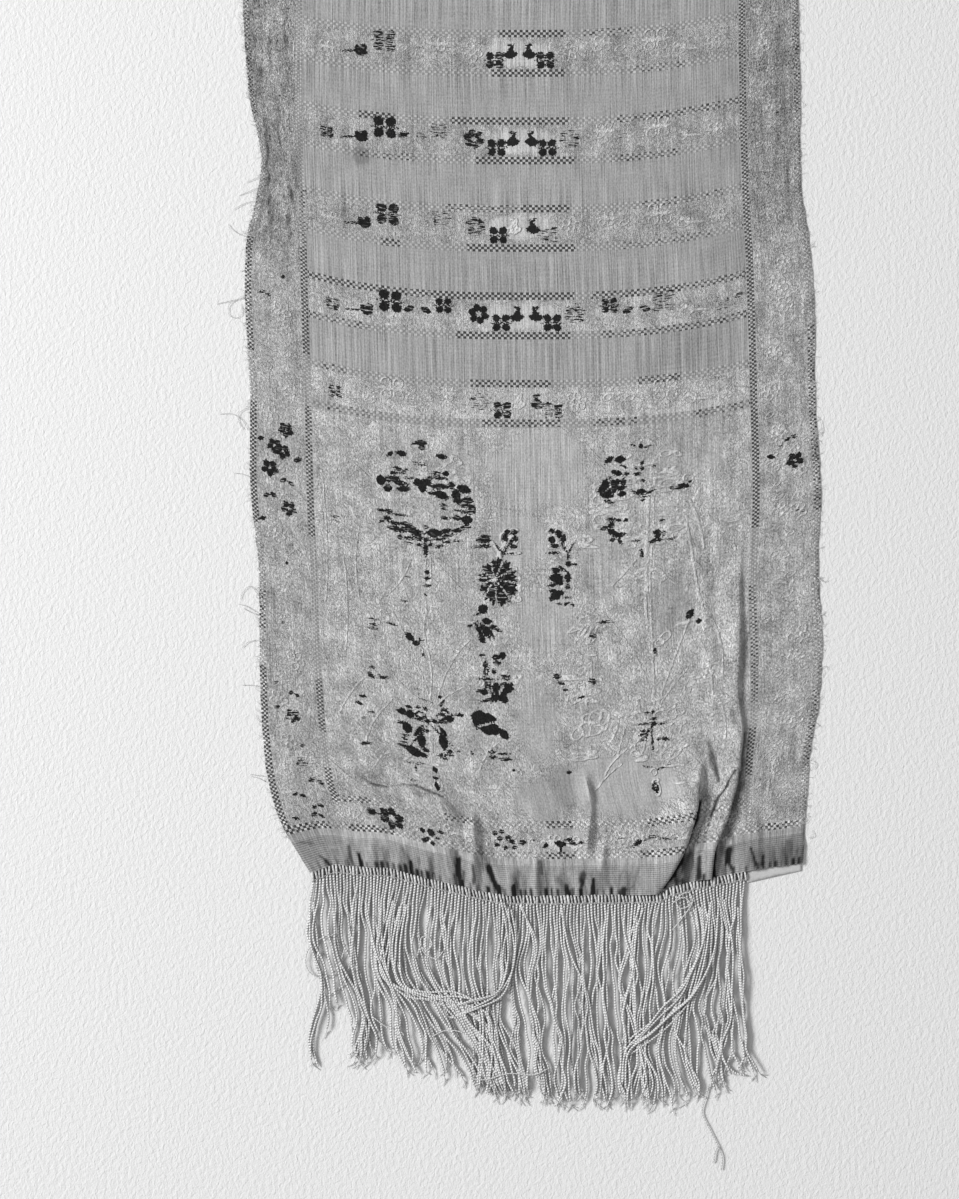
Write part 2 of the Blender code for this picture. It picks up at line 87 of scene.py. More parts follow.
# The woven design: cross bands every BAND_REPEAT from the first one, the hem's own band, the
# ribs and the light strip below it, and the outer checked line of both side borders
BAND_REPEAT = 56.0
FIRST_BAND = 315.8
BAND_HALF = 12.65
LAST_BAND = 1170.0
HEM_BAND = 35.9
HEM_BAND_HALF = 9.85
PANEL_TOP = 300.0
PANEL_AXIS = 2.0
HEM_RIBS = 19.5
HEM_STRIP = 24.0
EDGE_LINE = 178.0

# The field's value far from any figure, how far past a figure it is worked out, how near one
# takes over the wear of another, how far dark floats spread and how square a drawn shape is
FIELD_EMPTY = -3.0
STAMP_MARGIN = 3
STAMP_NEAR = -1.2
FIGURE_GROWTH = 0.3
ANGULAR_POWER = 1.5

# Worn figures: the width of their pale edge, the least size of one, and their spread
GHOST_EDGE = 0.42
GHOST_LEAST = 3.4
GHOST_SPREAD = 1.15

# Rows of worn flowers and leaves down both side borders and across the hem's band: from, to
# and every how far, then how far each strays
BORDER_GHOSTS = (58.0, 640.0, 13.0)
BORDER_GHOSTS_ACROSS = (152.0, 169.0)
BORDER_GHOST_SIZES = (0.9, 1.3)
BORDER_GHOST_STRAY = 4.0
HEM_GHOSTS = (-132.0, 134.0, 12.0)
HEM_GHOST_STRAY = 2.0

# Pale lines are laid as dots this far apart, each worked out this far round it, and this much
# wider than their own half width
PALE_STEP = 1.2
PALE_REACH = 2.5
PALE_SPREAD = 0.2

# A narrow shadow's fade on its soft side, its sharp side and past its ends, where it starts to
# fade, in half widths, how much wider it is drawn, how ragged it is and the size of its rags
SHADOW_SOFT_SIDE = 0.7
SHADOW_SHARP_SIDE = 1.25
SHADOW_TIP = 0.7
SHADOW_EDGE = 1.4
SHADOW_SPREAD = 0.3
SHADOW_RAGS = 0.45
SHADOW_RAG_SIZE = (1.6, 5.0)

# How far round a soft patch is worked out, in its sizes and beyond, how ragged it is and the
# size of its rags
PATCH_REACH = 1.4
PATCH_MARGIN = 2
PATCH_RAGS = 0.35
PATCH_RAG_SIZE = (5.0, 9.0)

CHECK_REACH = 4.0
CHARTED_TO = 640.0
CHECKS_ABOVE = 0.75

# How many places a hem's line is read at, and how closely its outermost line follows it
HEM_PLACES = 721
HEM_EASE = 0.06

# Steps of the search for a photographed place in the weave, and the share of each
SEARCH_STEPS = 30
SEARCH_SHARE = 0.6

# Faces that meet at more than this angle have a sharp edge between them
SHARP_ANGLE = math.radians(55)

# How far one cord's twist is out of step with another's, for each millimetre between them
PHASE_STEP = 0.618

WARP_PULL: Table = (
    # along, left_edge, left_line, centre, right_line, right_edge
    (0, 40, 28, 20, -3, -5.3),
    (15, 30, 25, 18.5, -3, -4.5),
    (35, 19, 20.5, 16, -2.8, -3.6),
    (55, 13, 14.6, 12, -2.5, -2),
    (75, 10, 11.5, 8, -1.5, -0.5),
    (100, 8, 8.5, 5, 1, 4.3),
    (140, 7, 6, 2.5, 1.5, 6.9),
    (190, 6.5, 4, 1, 0.2, 4.5),
    (240, 1.1, 1.5, -0.5, 2.6, 5.9),
    (300, 1, 0, -1.3, 1.4, 2.4),
    (360, -2.4, -2, -2, -0.5, 1.5),
    (400, -1, -3, -3, -2, -2),
    (425, 5, -3.8, -4, -3.6, -6),
    (456, 8, -5, -4.6, -4.6, -7.2),
    (490, 1, -6.3, -5.2, -5.6, -7.2),
    (556, -3.7, -5.8, -6.6, -6.3, -8.5),
    (700, -5, -4, -4, -4, -5),
    (1000, 1, 0.5, 0, 0, -1),
    (1500, -2, -0.5, 0.5, 1, 2.5),
    (2000, 2, 1, 0, -1, -1.5),
    (2440, 6, 4, 0, -3, -6),
)
WEFT_BOW: Table = (
    # along, left, right
    (0, 14, 14),
    (200, 14, 14),
    (318, 14.7, 13.8),
    (372, 15, 15.4),
    (428, 14.1, 15.4),
    (483, 12.2, 14.7),
    (540, 10.2, 13.4),
    (900, 6, 6),
    (1500, 3, 4),
    (2100, 0, 0),
    (2440, -8, -8),
)
BOW_POWER = 2.7
BOW_PAST_LINE = 0.55
HEM_RISE: Table = (
    # across, rise
    (-180, 15.4),
    (-158, 20.5),
    (-135, 18.9),
    (-115, 17.9),
    (-96, 13.1),
    (-69, 7),
    (-42, 1.5),
    (-14, 0.6),
    (26, 1),
    (62, 1.9),
    (75, 4),
    (89, 6.7),
    (103, 10.4),
    (122, 12.8),
    (139, 16),
    (150, 18.2),
    (180, 21.8),
)
HEM_INFLUENCE = 150.0
WIDE_PLEAT: Table = (
    # along, start, length, turn
    (0, 60.7, 13, 205),
    (9, 68, 14, 205),
    (24, 76.6, 15, 200),
    (38, 83.5, 14, 172),
    (50, 91.7, 12.7, 130),
    (66, 99, 10.5, 70),
    (80, 103, 10, 12),
    (96, 105, 10, 0),
)
NARROW_PLEAT: Table = (
    # along, start, length, turn
    (0, 111, 7.6, 128),
    (19, 113, 8, 155),
    (37, 119.5, 9, 150),
    (50, 124, 9, 120),
    (60, 127, 9, 110),
    (91, 130.5, 8, 80),
    (116, 127.8, 7, 70),
    (157, 129.3, 7, 78),
    (196, 131.5, 6, 45),
    (216, 132, 6, 0),
)
RIDGES: Table = (
    # x0, y0, x1, y1, height, reach_left, reach_right
    (-130, 82, -92, 67, 4.2, 13, 6),
    (-98, 68, -54, 60, 3.8, 12, 5),
    (-60, 62, -38, 36, 3.2, 10, 7),
    (-37, 54, -34, 16, 3, 7, 6),
    (36, 80, 37, 26, 2.8, 8, 6),
    (46, 36, 47, 12, 2, 5, 5),
    (107, 216, 117, 150, 1.6, 7, 7),
    (116, 165, 120, 100, 1.8, 7, 7),
    (-160, 560, -168, 470, 1.6, 9, 8),
    (-150, 500, -158, 430, 1.4, 8, 8),
    (154, 570, 158, 480, 1.3, 9, 8),
    (160, 470, 166, 400, 1.4, 8, 9),
    (-70, 190, -30, 150, 0.9, 14, 14),
    (60, 250, 90, 200, 0.9, 14, 14),
    (-150, 700, -140, 900, 1.2, 16, 16),
    (120, 1180, 150, 1350, 1.4, 18, 16),
    (-60, 1600, -90, 1800, 1.1, 18, 18),
    (40, 2320, 46, 2440, 2.2, 12, 10),
    (-80, 2340, -84, 2440, 2, 10, 12),
    (130, 2350, 126, 2440, 1.8, 10, 10),
)
RIDGE_OVERRUN = 0.15
RIDGE_FADE = 0.45
HEM_FOLDS: Table = (
    # x, reach_up, height, half_width
    (-118, 22, 1.6, 5),
    (-101, 26, 1.8, 5),
    (-84, 18, 1.2, 4),
    (-66, 24, 1.8, 5),
    (-50, 16, 1.2, 4),
    (-35, 30, 1.8, 5),
    (-12, 30, 2, 5),
    (4, 28, 2, 4.5),
    (17, 16, 1.2, 4.5),
    (31, 22, 1.6, 5),
    (60, 20, 1.4, 5),
    (146, 24, 1.6, 5),
    (160, 18, 1.1, 4.5),
)
NEAR_GATHERS = 69
FAR_GATHERS = 40
GATHER_HEIGHT = 0.9
GATHER_REACH = 9.0
TAPE_WALL = 1.0
TAPE_LEFT = 138.4
TAPE_TUCK = 8.0
TAPE_SHOWING_LEFT = 7.4
TAPE_SHOWING_RIGHT = 4.6
TAPE_CLEAR = 2.0
TAPE_RISE = 8.0
TAPE_FALL = 9.0

# Small creases that the solids don't carry, on the photograph. A height below zero is
# a trough
CREASES: Table = (
    # photo_x0, photo_y0, photo_x1, photo_y1, height, reach
    (362, 779, 384, 788, -1, 1.4),
    (400, 784, 442, 797, -1.1, 1.5),
    (431, 797, 456, 820, -0.9, 3),
    (456, 818, 476, 860, -1, 3.2),
    (459, 852, 458, 890, -2.2, 2.4),
    (488, 864, 502, 896, -2.4, 2.6),
    (514, 874, 524, 896, -1.6, 2.2),
    (566, 872, 573, 897, -2, 2.4),
    (580, 873, 587, 888, -1.6, 2),
    (592, 874, 608, 894, -1.7, 2.6),
    (640, 868, 634, 893, -0.8, 2.2),
    (622, 872, 620, 893, -0.7, 1.6),
    (548, 868, 550, 894, -0.8, 1.8),
    (472, 812, 474, 868, 1.4, 3),
    (536, 852, 535, 896, 1.4, 2.6),
    (585, 776, 592, 803, 1.5, 2.4),
    (592, 803, 586, 852, 1.5, 2.6),
    (603, 846, 600, 872, 1.3, 2.6),
    (563, 812, 563, 868, 0.6, 3),
    (348, 847, 354, 866, -0.7, 1.4),
    (360, 853, 362, 868, -0.8, 1.3),
    (410, 860, 413, 876, -0.9, 1.5),
    (698, 742, 708, 775, -1, 3),
    (738, 768, 722, 795, -1, 1.3),
    (724, 790, 706, 832, -1.1, 1.4),
    (728, 752, 736, 760, 0.6, 2.2),
    (310, 846, 345, 844, -0.4, 1.2),
    (774, 846, 778, 866, -1.2, 1.8),
    (786, 846, 788, 864, -0.8, 1.6),
    (764, 850, 762, 868, -0.7, 1.6),
    (800, 700, 792, 800, -0.5, 3),
    (786, 640, 784, 740, -0.5, 3.5),
    (768, 760, 762, 850, -0.7, 3),
    (340, 700, 366, 790, -0.4, 4),
    (352, 725, 372, 780, 0.5, 4),
    (330, 640, 338, 720, -0.35, 3.5),
    (700, 560, 694, 620, -0.5, 3.5),
    (716, 540, 722, 610, 0.6, 3),
    (694, 400, 690, 560, -0.35, 2.6),
    (708, 392, 712, 520, 0.4, 2.4),
    (725, 388, 722, 470, -0.3, 2.4),
    (808, 270, 800, 350, 0.8, 2.6),
    (800, 300, 806, 380, -0.6, 2.2),
    (272, 60, 268, 190, -0.9, 2.6),
    (262, 90, 270, 250, 0.8, 2.6),
    (282, 20, 290, 160, 0.6, 2.4),
    (254, 10, 262, 80, -0.7, 2.2),
    (278, 170, 272, 250, -0.7, 2.4),
    (775, 20, 772, 190, 0.6, 3),
    (785, 60, 792, 230, -0.6, 2.8),
    (764, 120, 768, 260, -0.5, 2.4),
)


class Relief(NamedTuple):
    """How strongly one stretch of cloth is crumpled, and at what scale."""

    across_from: float
    across_to: float
    along_from: float
    along_to: float
    height: float
    cell_across: float
    cell_along: float


# Fine crumple: worn borders, the panel, and gathers that run up from the hem
CRUMPLE: Sequence[Relief] = (
    Relief(-185, -146, 385, 620, 1.0, 3.4, 8.0),
    Relief(-185, -146, 385, 620, 0.55, 1.9, 3.4),
    Relief(-185, -146, 60, 400, 0.30, 4.0, 8.0),
    Relief(146, 185, 380, 620, 0.50, 3.8, 11.0),
    Relief(146, 185, 30, 400, 0.36, 4.2, 9.0),
    Relief(146, 185, 30, 620, 0.18, 1.9, 3.6),
    Relief(-139, 139, 46, 300, 0.22, 5.5, 9.0),
    Relief(60, 139, 60, 300, 0.25, 3.4, 16.0),
    Relief(-139, 10, 20, 90, 0.30, 5.0, 7.0),
    Relief(-180, 180, -4, 60, 0.34, 4.0, 22.0),
    Relief(-180, 180, -4, 30, 0.30, 2.3, 9.0),
    Relief(-139, 139, 300, 2140, 0.07, 6.0, 14.0),
    Relief(-185, -146, 620, 2400, 0.40, 5.0, 11.0),
    Relief(146, 185, 620, 2400, 0.40, 5.0, 11.0),
    Relief(-180, 180, 2400, 2444, 0.40, 4.0, 22.0),
)
CRUMPLE_EASE = 6.0

# How far noise bends the crumple's rows, and the size of those bends
CRUMPLE_BEND = 2.5
CRUMPLE_BEND_SIZE = (9.0, 13.0)

# How far a small crease runs past its ends, and how long it takes to fade there, in lengths
CREASE_OVERRUN = 0.1
CREASE_FADE = 0.3

# The selvedge: how wide and how far it rolls down, how far it wanders and how far in
EDGE_ROLL = 1.6
EDGE_DROP = 0.6
EDGE_WANDER = 0.55
EDGE_WANDER_REACH = 6
EDGE_WANDER_SIZE = (4.0, 9.0)

# The under face lies flat below this height, and the wall is nowhere thinner than this
UNDER_FLAT = 0.05
THINNEST_WALL = 0.35


def smooth(value: Array | float) -> Array:
    """Return 0 below 0, 1 above 1 and a smooth step between."""
    clamped = np.clip(value, 0.0, 1.0)
    return clamped * clamped * (3 - 2 * clamped)


def span(place: Array, start: float, end: float, fade: float) -> Array:
    """Return 1 well inside start and end, fading smoothly to 0 at them."""
    return smooth((place - start) / fade) * smooth((end - place) / fade)


def beside_line(x: Array, y: Array, x0: float, y0: float, x1: float, y1: float) -> tuple[Array, Array]:
    """Return the share of a straight line's length at each place, and how far aside that is."""
    run_x, run_y = x1 - x0, y1 - y0
    length = math.hypot(run_x, run_y)
    place = ((x - x0) * run_x + (y - y0) * run_y) / (length * length)
    return place, ((x - x0) * run_y - (y - y0) * run_x) / length


def curve(rows: Table, column: int, at: Array | float) -> Array:
    """Read one column of a table on a smooth curve through its rows.

    Args:
        rows: the table, its first column rising.
        column: the column to read.
        at: where to read it, in the first column's units.

    Returns:
        The column's values, in the shape of `at`.
    """
    table = np.asarray(rows, float)
    keys, values = table[:, 0], table[:, column]
    order = np.arange(len(keys))
    after, before = np.minimum(order + 1, len(keys) - 1), np.maximum(order - 1, 0)
    slopes = (values[after] - values[before]) / (keys[after] - keys[before])
    place = np.clip(at, keys[0], keys[-1])
    upper = np.clip(np.searchsorted(keys, place, side="right"), 1, len(keys) - 1)
    lower = upper - 1
    span = keys[upper] - keys[lower]
    part = (place - keys[lower]) / span
    chord = (values[upper] - values[lower]) * (3 - 2 * part) * part * part
    lead_in = slopes[lower] * span * part * (1 - part) ** 2
    lead_out = slopes[upper] * span * part * part * (1 - part)
    return values[lower] + chord + lead_in - lead_out


class Grain:
    """Smooth repeatable noise over a plane."""

    CELLS = 256

    def __init__(self, seed: int) -> None:
        """Draw the lattice of one seed."""
        self.lattice = np.random.default_rng(seed).uniform(-1, 1, (self.CELLS, self.CELLS))

    def at(self, x: Array, y: Array, cell_x: float, cell_y: float) -> Array:
        """Read the noise.

        Args:
            x: places on the first axis.
            y: places on the second axis.
            cell_x: size of one bump on the first axis.
            cell_y: size of one bump on the second axis.

        Returns:
            Values from -1 to 1.
        """
        place_x, place_y = np.asarray(x) / cell_x, np.asarray(y) / cell_y
        left, low = np.floor(place_x).astype(int), np.floor(place_y).astype(int)
        part_x, part_y = smooth(place_x - left), smooth(place_y - low)
        right, high = (left + 1) % self.CELLS, (low + 1) % self.CELLS
        left, low = left % self.CELLS, low % self.CELLS
        lower = self.lattice[left, low] * (1 - part_x) + self.lattice[right, low] * part_x
        upper = self.lattice[left, high] * (1 - part_x) + self.lattice[right, high] * part_x
        return lower * (1 - part_y) + upper * part_y


@dataclass(frozen=True)
class Pleat:
    """One pleat folded over to the right, by its table of heights."""

    rows: Table
    ramp: float
    turn_steps: int = 24

    def _turned(self, part: Array | float, turn: Array) -> tuple[Array, Array]:
        """Walk part of the way through the fold; return its run and drop as shares."""
        run, drop = np.zeros_like(turn), np.zeros_like(turn)
        for index in range(self.turn_steps):
            place = (index + 0.5) / self.turn_steps * part
            angle = turn * (1 - np.cos(math.tau * place)) / 2
            run = run + np.cos(angle)
            drop = drop + np.sin(angle)
        return run * part / self.turn_steps, drop * part / self.turn_steps

    def fold(self, across: Array, along: Array) -> tuple[Array, Array, Array, Array]:
        """Work out what the pleat does to the cloth.

        Args:
            across: warp lines.
            along: heights above the near hem.

        Returns:
            How far it carries each place to the right, how much cloth it takes up there,
            how high it holds the cloth, and how far each place lies outside the fold.
        """
        start, length = curve(self.rows, 1, along), curve(self.rows, 2, along)
        turn = np.radians(np.maximum(curve(self.rows, 3, along), 0.0))
        turn = np.where(along < self.rows[-1][0], turn, 0.0)
        part = np.clip((across - start) / length, 0.0, 1.0)
        run, drop = self._turned(part, turn)
        whole_run, whole_drop = self._turned(1.0, turn)
        taken_up = length * (1 - whole_run)
        inside = taken_up + length * run - (across - start)
        pull = np.where(across <= start, taken_up, np.where(part >= 1, 0.0, inside))
        before = whole_drop * smooth(1 - (start - across) / self.ramp)
        lift = length * np.where(across <= start, before, whole_drop - drop)
        outside = np.maximum(start - across, across - start - length)
        return pull, taken_up, np.where(part >= 1, 0.0, lift), outside


@dataclass
class Drape:
    """How the sash lies: where each crossing of warp and weft is on the floor plan."""

    pleats: tuple[Pleat, ...] = (Pleat(WIDE_PLEAT, 24.0), Pleat(NARROW_PLEAT, 14.0))
    grain: Grain = field(default_factory=lambda: Grain(11))
    fine_grain: Grain = field(default_factory=lambda: Grain(12))

    def middle(self, across: Array, along: Array) -> Array:
        """Return the middle of the solids' wall, in millimetres on the plan."""
        pulls = [curve(WARP_PULL, column, along) for column in range(1, 6)]
        left_edge, left_line, centre, right_line, right_edge = pulls
        folds = [pleat.fold(across, along) for pleat in self.pleats]
        past_line = HALF_WIDTH - BORDER_LINE
        taken_up = sum(fold[1] for fold in folds)
        pleated = sum(fold[0] for fold in folds)
        between = (centre - right_line - taken_up) * (1 - across / BORDER_LINE)
        outer_left = left_edge + (left_line - left_edge) * (across + HALF_WIDTH) / past_line
        outer_right = right_edge - right_line
        outer_right = right_line + outer_right * (across - BORDER_LINE) / past_line
        inner_left = left_line + (centre - left_line) * (across + BORDER_LINE) / BORDER_LINE
        pull = np.where(across < 0, inner_left, right_line + between + pleated)
        pull = np.where(across < -BORDER_LINE, outer_left, pull)
        pull = np.where(across > BORDER_LINE, outer_right, pull)
        x = across + pull
        y = along + self.rise(across, along)
        z = WALL / 2 + sum(fold[2] for fold in folds)
        z = z + self.ridges(x, y) + self.gathers(x, across, along, folds)
        return np.stack([x, y, z + self.over_tape(x, along)], axis=-1)

    def rise(self, across: Array, along: Array) -> Array:
        """Return how far the weft has bowed up."""
        left, right = curve(WEFT_BOW, 1, along), curve(WEFT_BOW, 2, along)
        amplitude = np.where(across < 0, left, right)
        distance = np.abs(across) / BORDER_LINE
        past = (np.abs(across) - BORDER_LINE) / (HALF_WIDTH - BORDER_LINE)
        bow = np.where(distance <= 1, distance**BOW_POWER, 1 + BOW_PAST_LINE * past)
        blend = smooth(along / HEM_INFLUENCE)
        return curve(HEM_RISE, 1, across) * (1 - blend) + amplitude * bow * blend

    def ridges(self, x: Array, y: Array) -> Array:
        """Return the height of the soft ridges."""
        lift = np.zeros_like(x)
        for *line, height, reach_left, reach_right in RIDGES:
            place, aside = beside_line(x, y, *line)
            reach = np.where(aside * (line[3] - line[1]) < 0, reach_left, reach_right)
            ends = span(place, -RIDGE_OVERRUN, 1 + RIDGE_OVERRUN, RIDGE_FADE)
            lift += height * ends * smooth(1 - np.abs(aside) / reach)
        return lift

    def gathers(self, x: Array, across: Array, along: Array, folds: list) -> Array:
        """Return the height of the gathers at the two hems, which the pleats flatten."""
        lift = np.zeros_like(x)
        for centre, reach_up, height, half_width in HEM_FOLDS:
            side = smooth(1 - np.abs(x - centre) / half_width)
            lift += height * side * smooth(1 - along / reach_up)
        waves = [
            (1 - np.cos(math.tau * count * (across / CLOTH_WIDTH + 0.5))) / 2
            for count in (NEAR_GATHERS, FAR_GATHERS)
        ]
        near = GATHER_HEIGHT * smooth(1 - along / GATHER_REACH) * waves[0]
        far = smooth(1 - (CLOTH_LENGTH - along) / (2 * GATHER_REACH)) * waves[1]
        for *_, outside in folds:
            near = near * smooth(outside * NEAR_GATHERS / CLOTH_WIDTH)
        return lift + near + GATHER_HEIGHT * far

    def over_tape(self, x: Array, along: Array) -> Array:
        """Return how high the near hem is held by the tape under its corner."""
        beside = smooth((x - TAPE_LEFT + TAPE_CLEAR + TAPE_RISE) / TAPE_RISE)
        above = smooth(1 - (along - TAPE_TUCK - TAPE_WALL) / TAPE_FALL)
        return (TAPE_WALL + SEAM_GAP) * beside * above

    def crumple(self, across: Array, along: Array, plan: Array) -> Array:
        """Return the fine crumple and small creases, as a height to add."""
        lift = np.zeros(across.shape)
        for index, part in enumerate(CRUMPLE):
            inside = span(across, part.across_from, part.across_to, CRUMPLE_EASE)
            inside = inside * span(along, part.along_from, part.along_to, CRUMPLE_EASE)
            grain = self.grain if index % 2 else self.fine_grain
            bend = CRUMPLE_BEND * self.fine_grain.at(across, along, *CRUMPLE_BEND_SIZE)
            bumps = grain.at(across + bend, along, part.cell_across, part.cell_along)
            lift += part.height * inside * bumps
        x, y = plan[..., 0], plan[..., 1]
        for photo_x0, photo_y0, photo_x1, photo_y1, height, reach in CREASES:
            line = (*plan_place(photo_x0, photo_y0), *plan_place(photo_x1, photo_y1))
            place, aside = beside_line(x, y, *line)
            ends = span(place, -CREASE_OVERRUN, 1 + CREASE_OVERRUN, CREASE_FADE)
            lift += height * ends * smooth(1 - np.abs(aside) / reach)
        return lift

    def cut_places(self, photo: Array) -> Array:
        """Turn pixels of the photograph into places in the weave.

        Args:
            photo: pixels, an array of rows of (photo_x, photo_y).

        Returns:
            Rows of (across, along).
        """
        goal = plan_place(photo[:, 0], photo[:, 1]).T
        cut = goal.copy()
        for _ in range(SEARCH_STEPS):
            plan = self.middle(cut[:, 0], cut[:, 1])[:, :2]
            cut += SEARCH_SHARE * (goal - plan)
        return cut

    def hem_line(self, along: float = 0.0) -> Array:
        """Return the middle of the wall along one hem, on the plan."""
        across = np.linspace(-HALF_WIDTH, HALF_WIDTH, HEM_PLACES)
        return self.middle(across, np.full_like(across, along))


def plan_place(photo_x: Array | float, photo_y: Array | float) -> Array:
    """Return the place on the floor plan, in millimetres, of a pixel of the photograph."""
    x = (np.asarray(photo_x, float) - PHOTO_ZERO_X) * MM_PER_PIXEL
    y = (PHOTO_ZERO_Y - np.asarray(photo_y, float)) * MM_PER_PIXEL
    return np.array([x, y])


def photo_path(photo_x: Array, photo_y: Array, heights: Array) -> Array:
    """Return the plan's points over pixels of the photograph, at the given heights."""
    return np.column_stack([*plan_place(photo_x, photo_y), heights])


def outermost(hem: Array, x: float, out: int) -> float:
    """Return how far out a hem reaches about one place.

    Args:
        hem: its line on the plan.
        x: the place.
        out: -1 for the near hem, 1 for the far one.

    Returns:
        The hem's outermost line there, which passes over its small hollows.
    """
    return out * float(np.max(out * hem[:, 1] - HEM_EASE * (hem[:, 0] - x) ** 2))


@dataclass
class Frame:
    """Places the floor plan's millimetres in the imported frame's metres."""

    offset: Array

    @classmethod
    def from_solids(cls, drape: Drape) -> Frame:
        """Find the plan's zero from the boxes of the tape and the cloth."""
        hem = drape.hem_line()
        tape_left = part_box("corner_tape")[0].x
        cloth_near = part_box("woven_cloth")[0].y
        return cls(np.array([tape_left - TAPE_LEFT * MM, cloth_near - hem[:, 1].min() * MM, 0.0]))

    def place(self, plan: Array) -> Array:
        """Return points of the plan as points of the frame, in metres."""
        return plan * MM + self.offset


class Shape(NamedTuple):
    """One filled ellipse or leaf of a woven motif, in the weave's millimetres."""

    across: float
    along: float
    half_across: float
    half_along: float
    tilt: float = 0.0
    pointed: bool = False
    angular: bool = False


class Motif(Enum):
    """The small figures that the bands and borders repeat."""

    SPRIG = "sprig"
    QUARTET = "four petals"
    RING = "six petals round an eye"
    LEAF = "leaf"
    PAIR = "two leaves"
    BUD = "bud on a stalk"
    BLOOM = "five petals"

    def shapes(self, size: float = 1.0, side: int = 1) -> list[Shape]:
        """Return the motif's filled shapes about its own middle.

        Args:
            size: scale of the motif.
            side: 1, or -1 for its mirror image.

        Returns:
            Its shapes, in millimetres.
        """
        if self is Motif.SPRIG:
            rows = [(0, -0.4, 1.9, 2.3, 0), (1.9, -1.1, 1.6, 1.1, 35), (-1.7, -0.9, 1.5, 1.0, -30)]
            rows += [(-0.5, 2.4, 0.7, 1.6, 25), (0.4, 3.9, 1.0, 0.5, 15)]
        elif self is Motif.QUARTET:
            rows = [(x * 3.1, y * 3.0, 2.5, 2.2, x * y * 28) for x in (-1, 1) for y in (-1, 1)]
            rows.append((0, 0, 5.2, 0.28, 0))
        elif self in (Motif.RING, Motif.BLOOM):
            petals = RING_PETALS if self is Motif.RING else BLOOM_PETALS
            count, out_x, out_y, half_x, half_y, start = petals
            rows = [
                (out_x * math.cos(turn), out_y * math.sin(turn), half_x, half_y, math.degrees(turn))
                for turn in np.arange(count) * math.tau / count + start
            ]
        elif self is Motif.LEAF:
            return [Shape(0, 0, 3.4 * size, 1.5 * size, 22 * side, True)]
        elif self is Motif.PAIR:
            return [
                Shape(-2.6 * side * size, 0.8 * size, 2.9 * size, 1.3 * size, 30 * side, True),
                Shape(2.8 * side * size, -0.6 * size, 2.6 * size, 1.2 * size, -25 * side, True),
            ]
        else:
            rows = [(0, 0, 3.2, 2.3, 0), (-1.6, 2.6, 1.6, 1.4, 0), (2.2, 2.0, 1.2, 1.0, 0)]
            rows.append((6.5, -0.6, 3.6, 0.35, -8))
        return [
            Shape(side * x * size, y * size, rx * size, ry * size, side * tilt)
            for x, y, rx, ry, tilt in rows
        ]


# Round flowers: petals, how far out they are across and along, their half sizes, first bearing
RING_PETALS = (6, 4.2, 4.0, 2.2, 1.9, 0.3)
BLOOM_PETALS = (5, 3.0, 3.0, 1.9, 1.6, 0.9)

# The garland that every cross band repeats on both sides of its middle
GARLAND: Sequence[tuple[Motif, float, float, float]] = (
    # motif, across, along from the band's middle, size
    (Motif.SPRIG, 5.9, 0.2, 1.3),
    (Motif.QUARTET, 16.3, -4.4, 0.98),
    (Motif.RING, 30.6, 1.0, 1.02),
    (Motif.QUARTET, 52.8, 5.6, 0.86),
    (Motif.LEAF, 64.2, 1.9, 1.1),
    (Motif.LEAF, 75.2, 1.9, -1.1),
    (Motif.QUARTET, 87.0, 5.6, 1.26),
    (Motif.BUD, 102.0, -2.6, 1.15),
    (Motif.QUARTET, 124.0, -2.4, 0.7),
)

# How much of each figure is left dark in each band, from 0, worn away, to 1
GARLAND_LEFT: Table = (
    # band, side, sprig, quartet, ring, quartet, leaf, leaf, large quartet, bud, small quartet
    (0, -1, 0, 0.85, 0.2, 0, 0, 0, 0, 0, 0.55),
    (0, 1, 0.8, 0.5, 0, 0, 0, 0, 0, 0, 0),
    (1, -1, 1, 1, 1, 1, 0.9, 0.9, 1, 0.8, 0.6),
    (1, 1, 1, 1, 0.5, 0.8, 0.7, 0.7, 0.3, 0, 0.2),
    (2, -1, 0, 1, 0.55, 0.3, 0, 0, 0.85, 0.95, 0),
    (2, 1, 1, 0.35, 0, 0, 0, 0, 0, 0, 0),
    (3, -1, 1, 1, 0.8, 0.35, 0.3, 0.8, 1, 1, 0.8),
    (3, 1, 1, 1, 0.3, 0, 0.2, 0, 0, 0, 0),
    (4, -1, 1, 0.9, 0, 0, 0, 0, 0.55, 0.9, 0),
    (4, 1, 1, 0.95, 0, 0, 0, 0, 0, 0, 0),
)

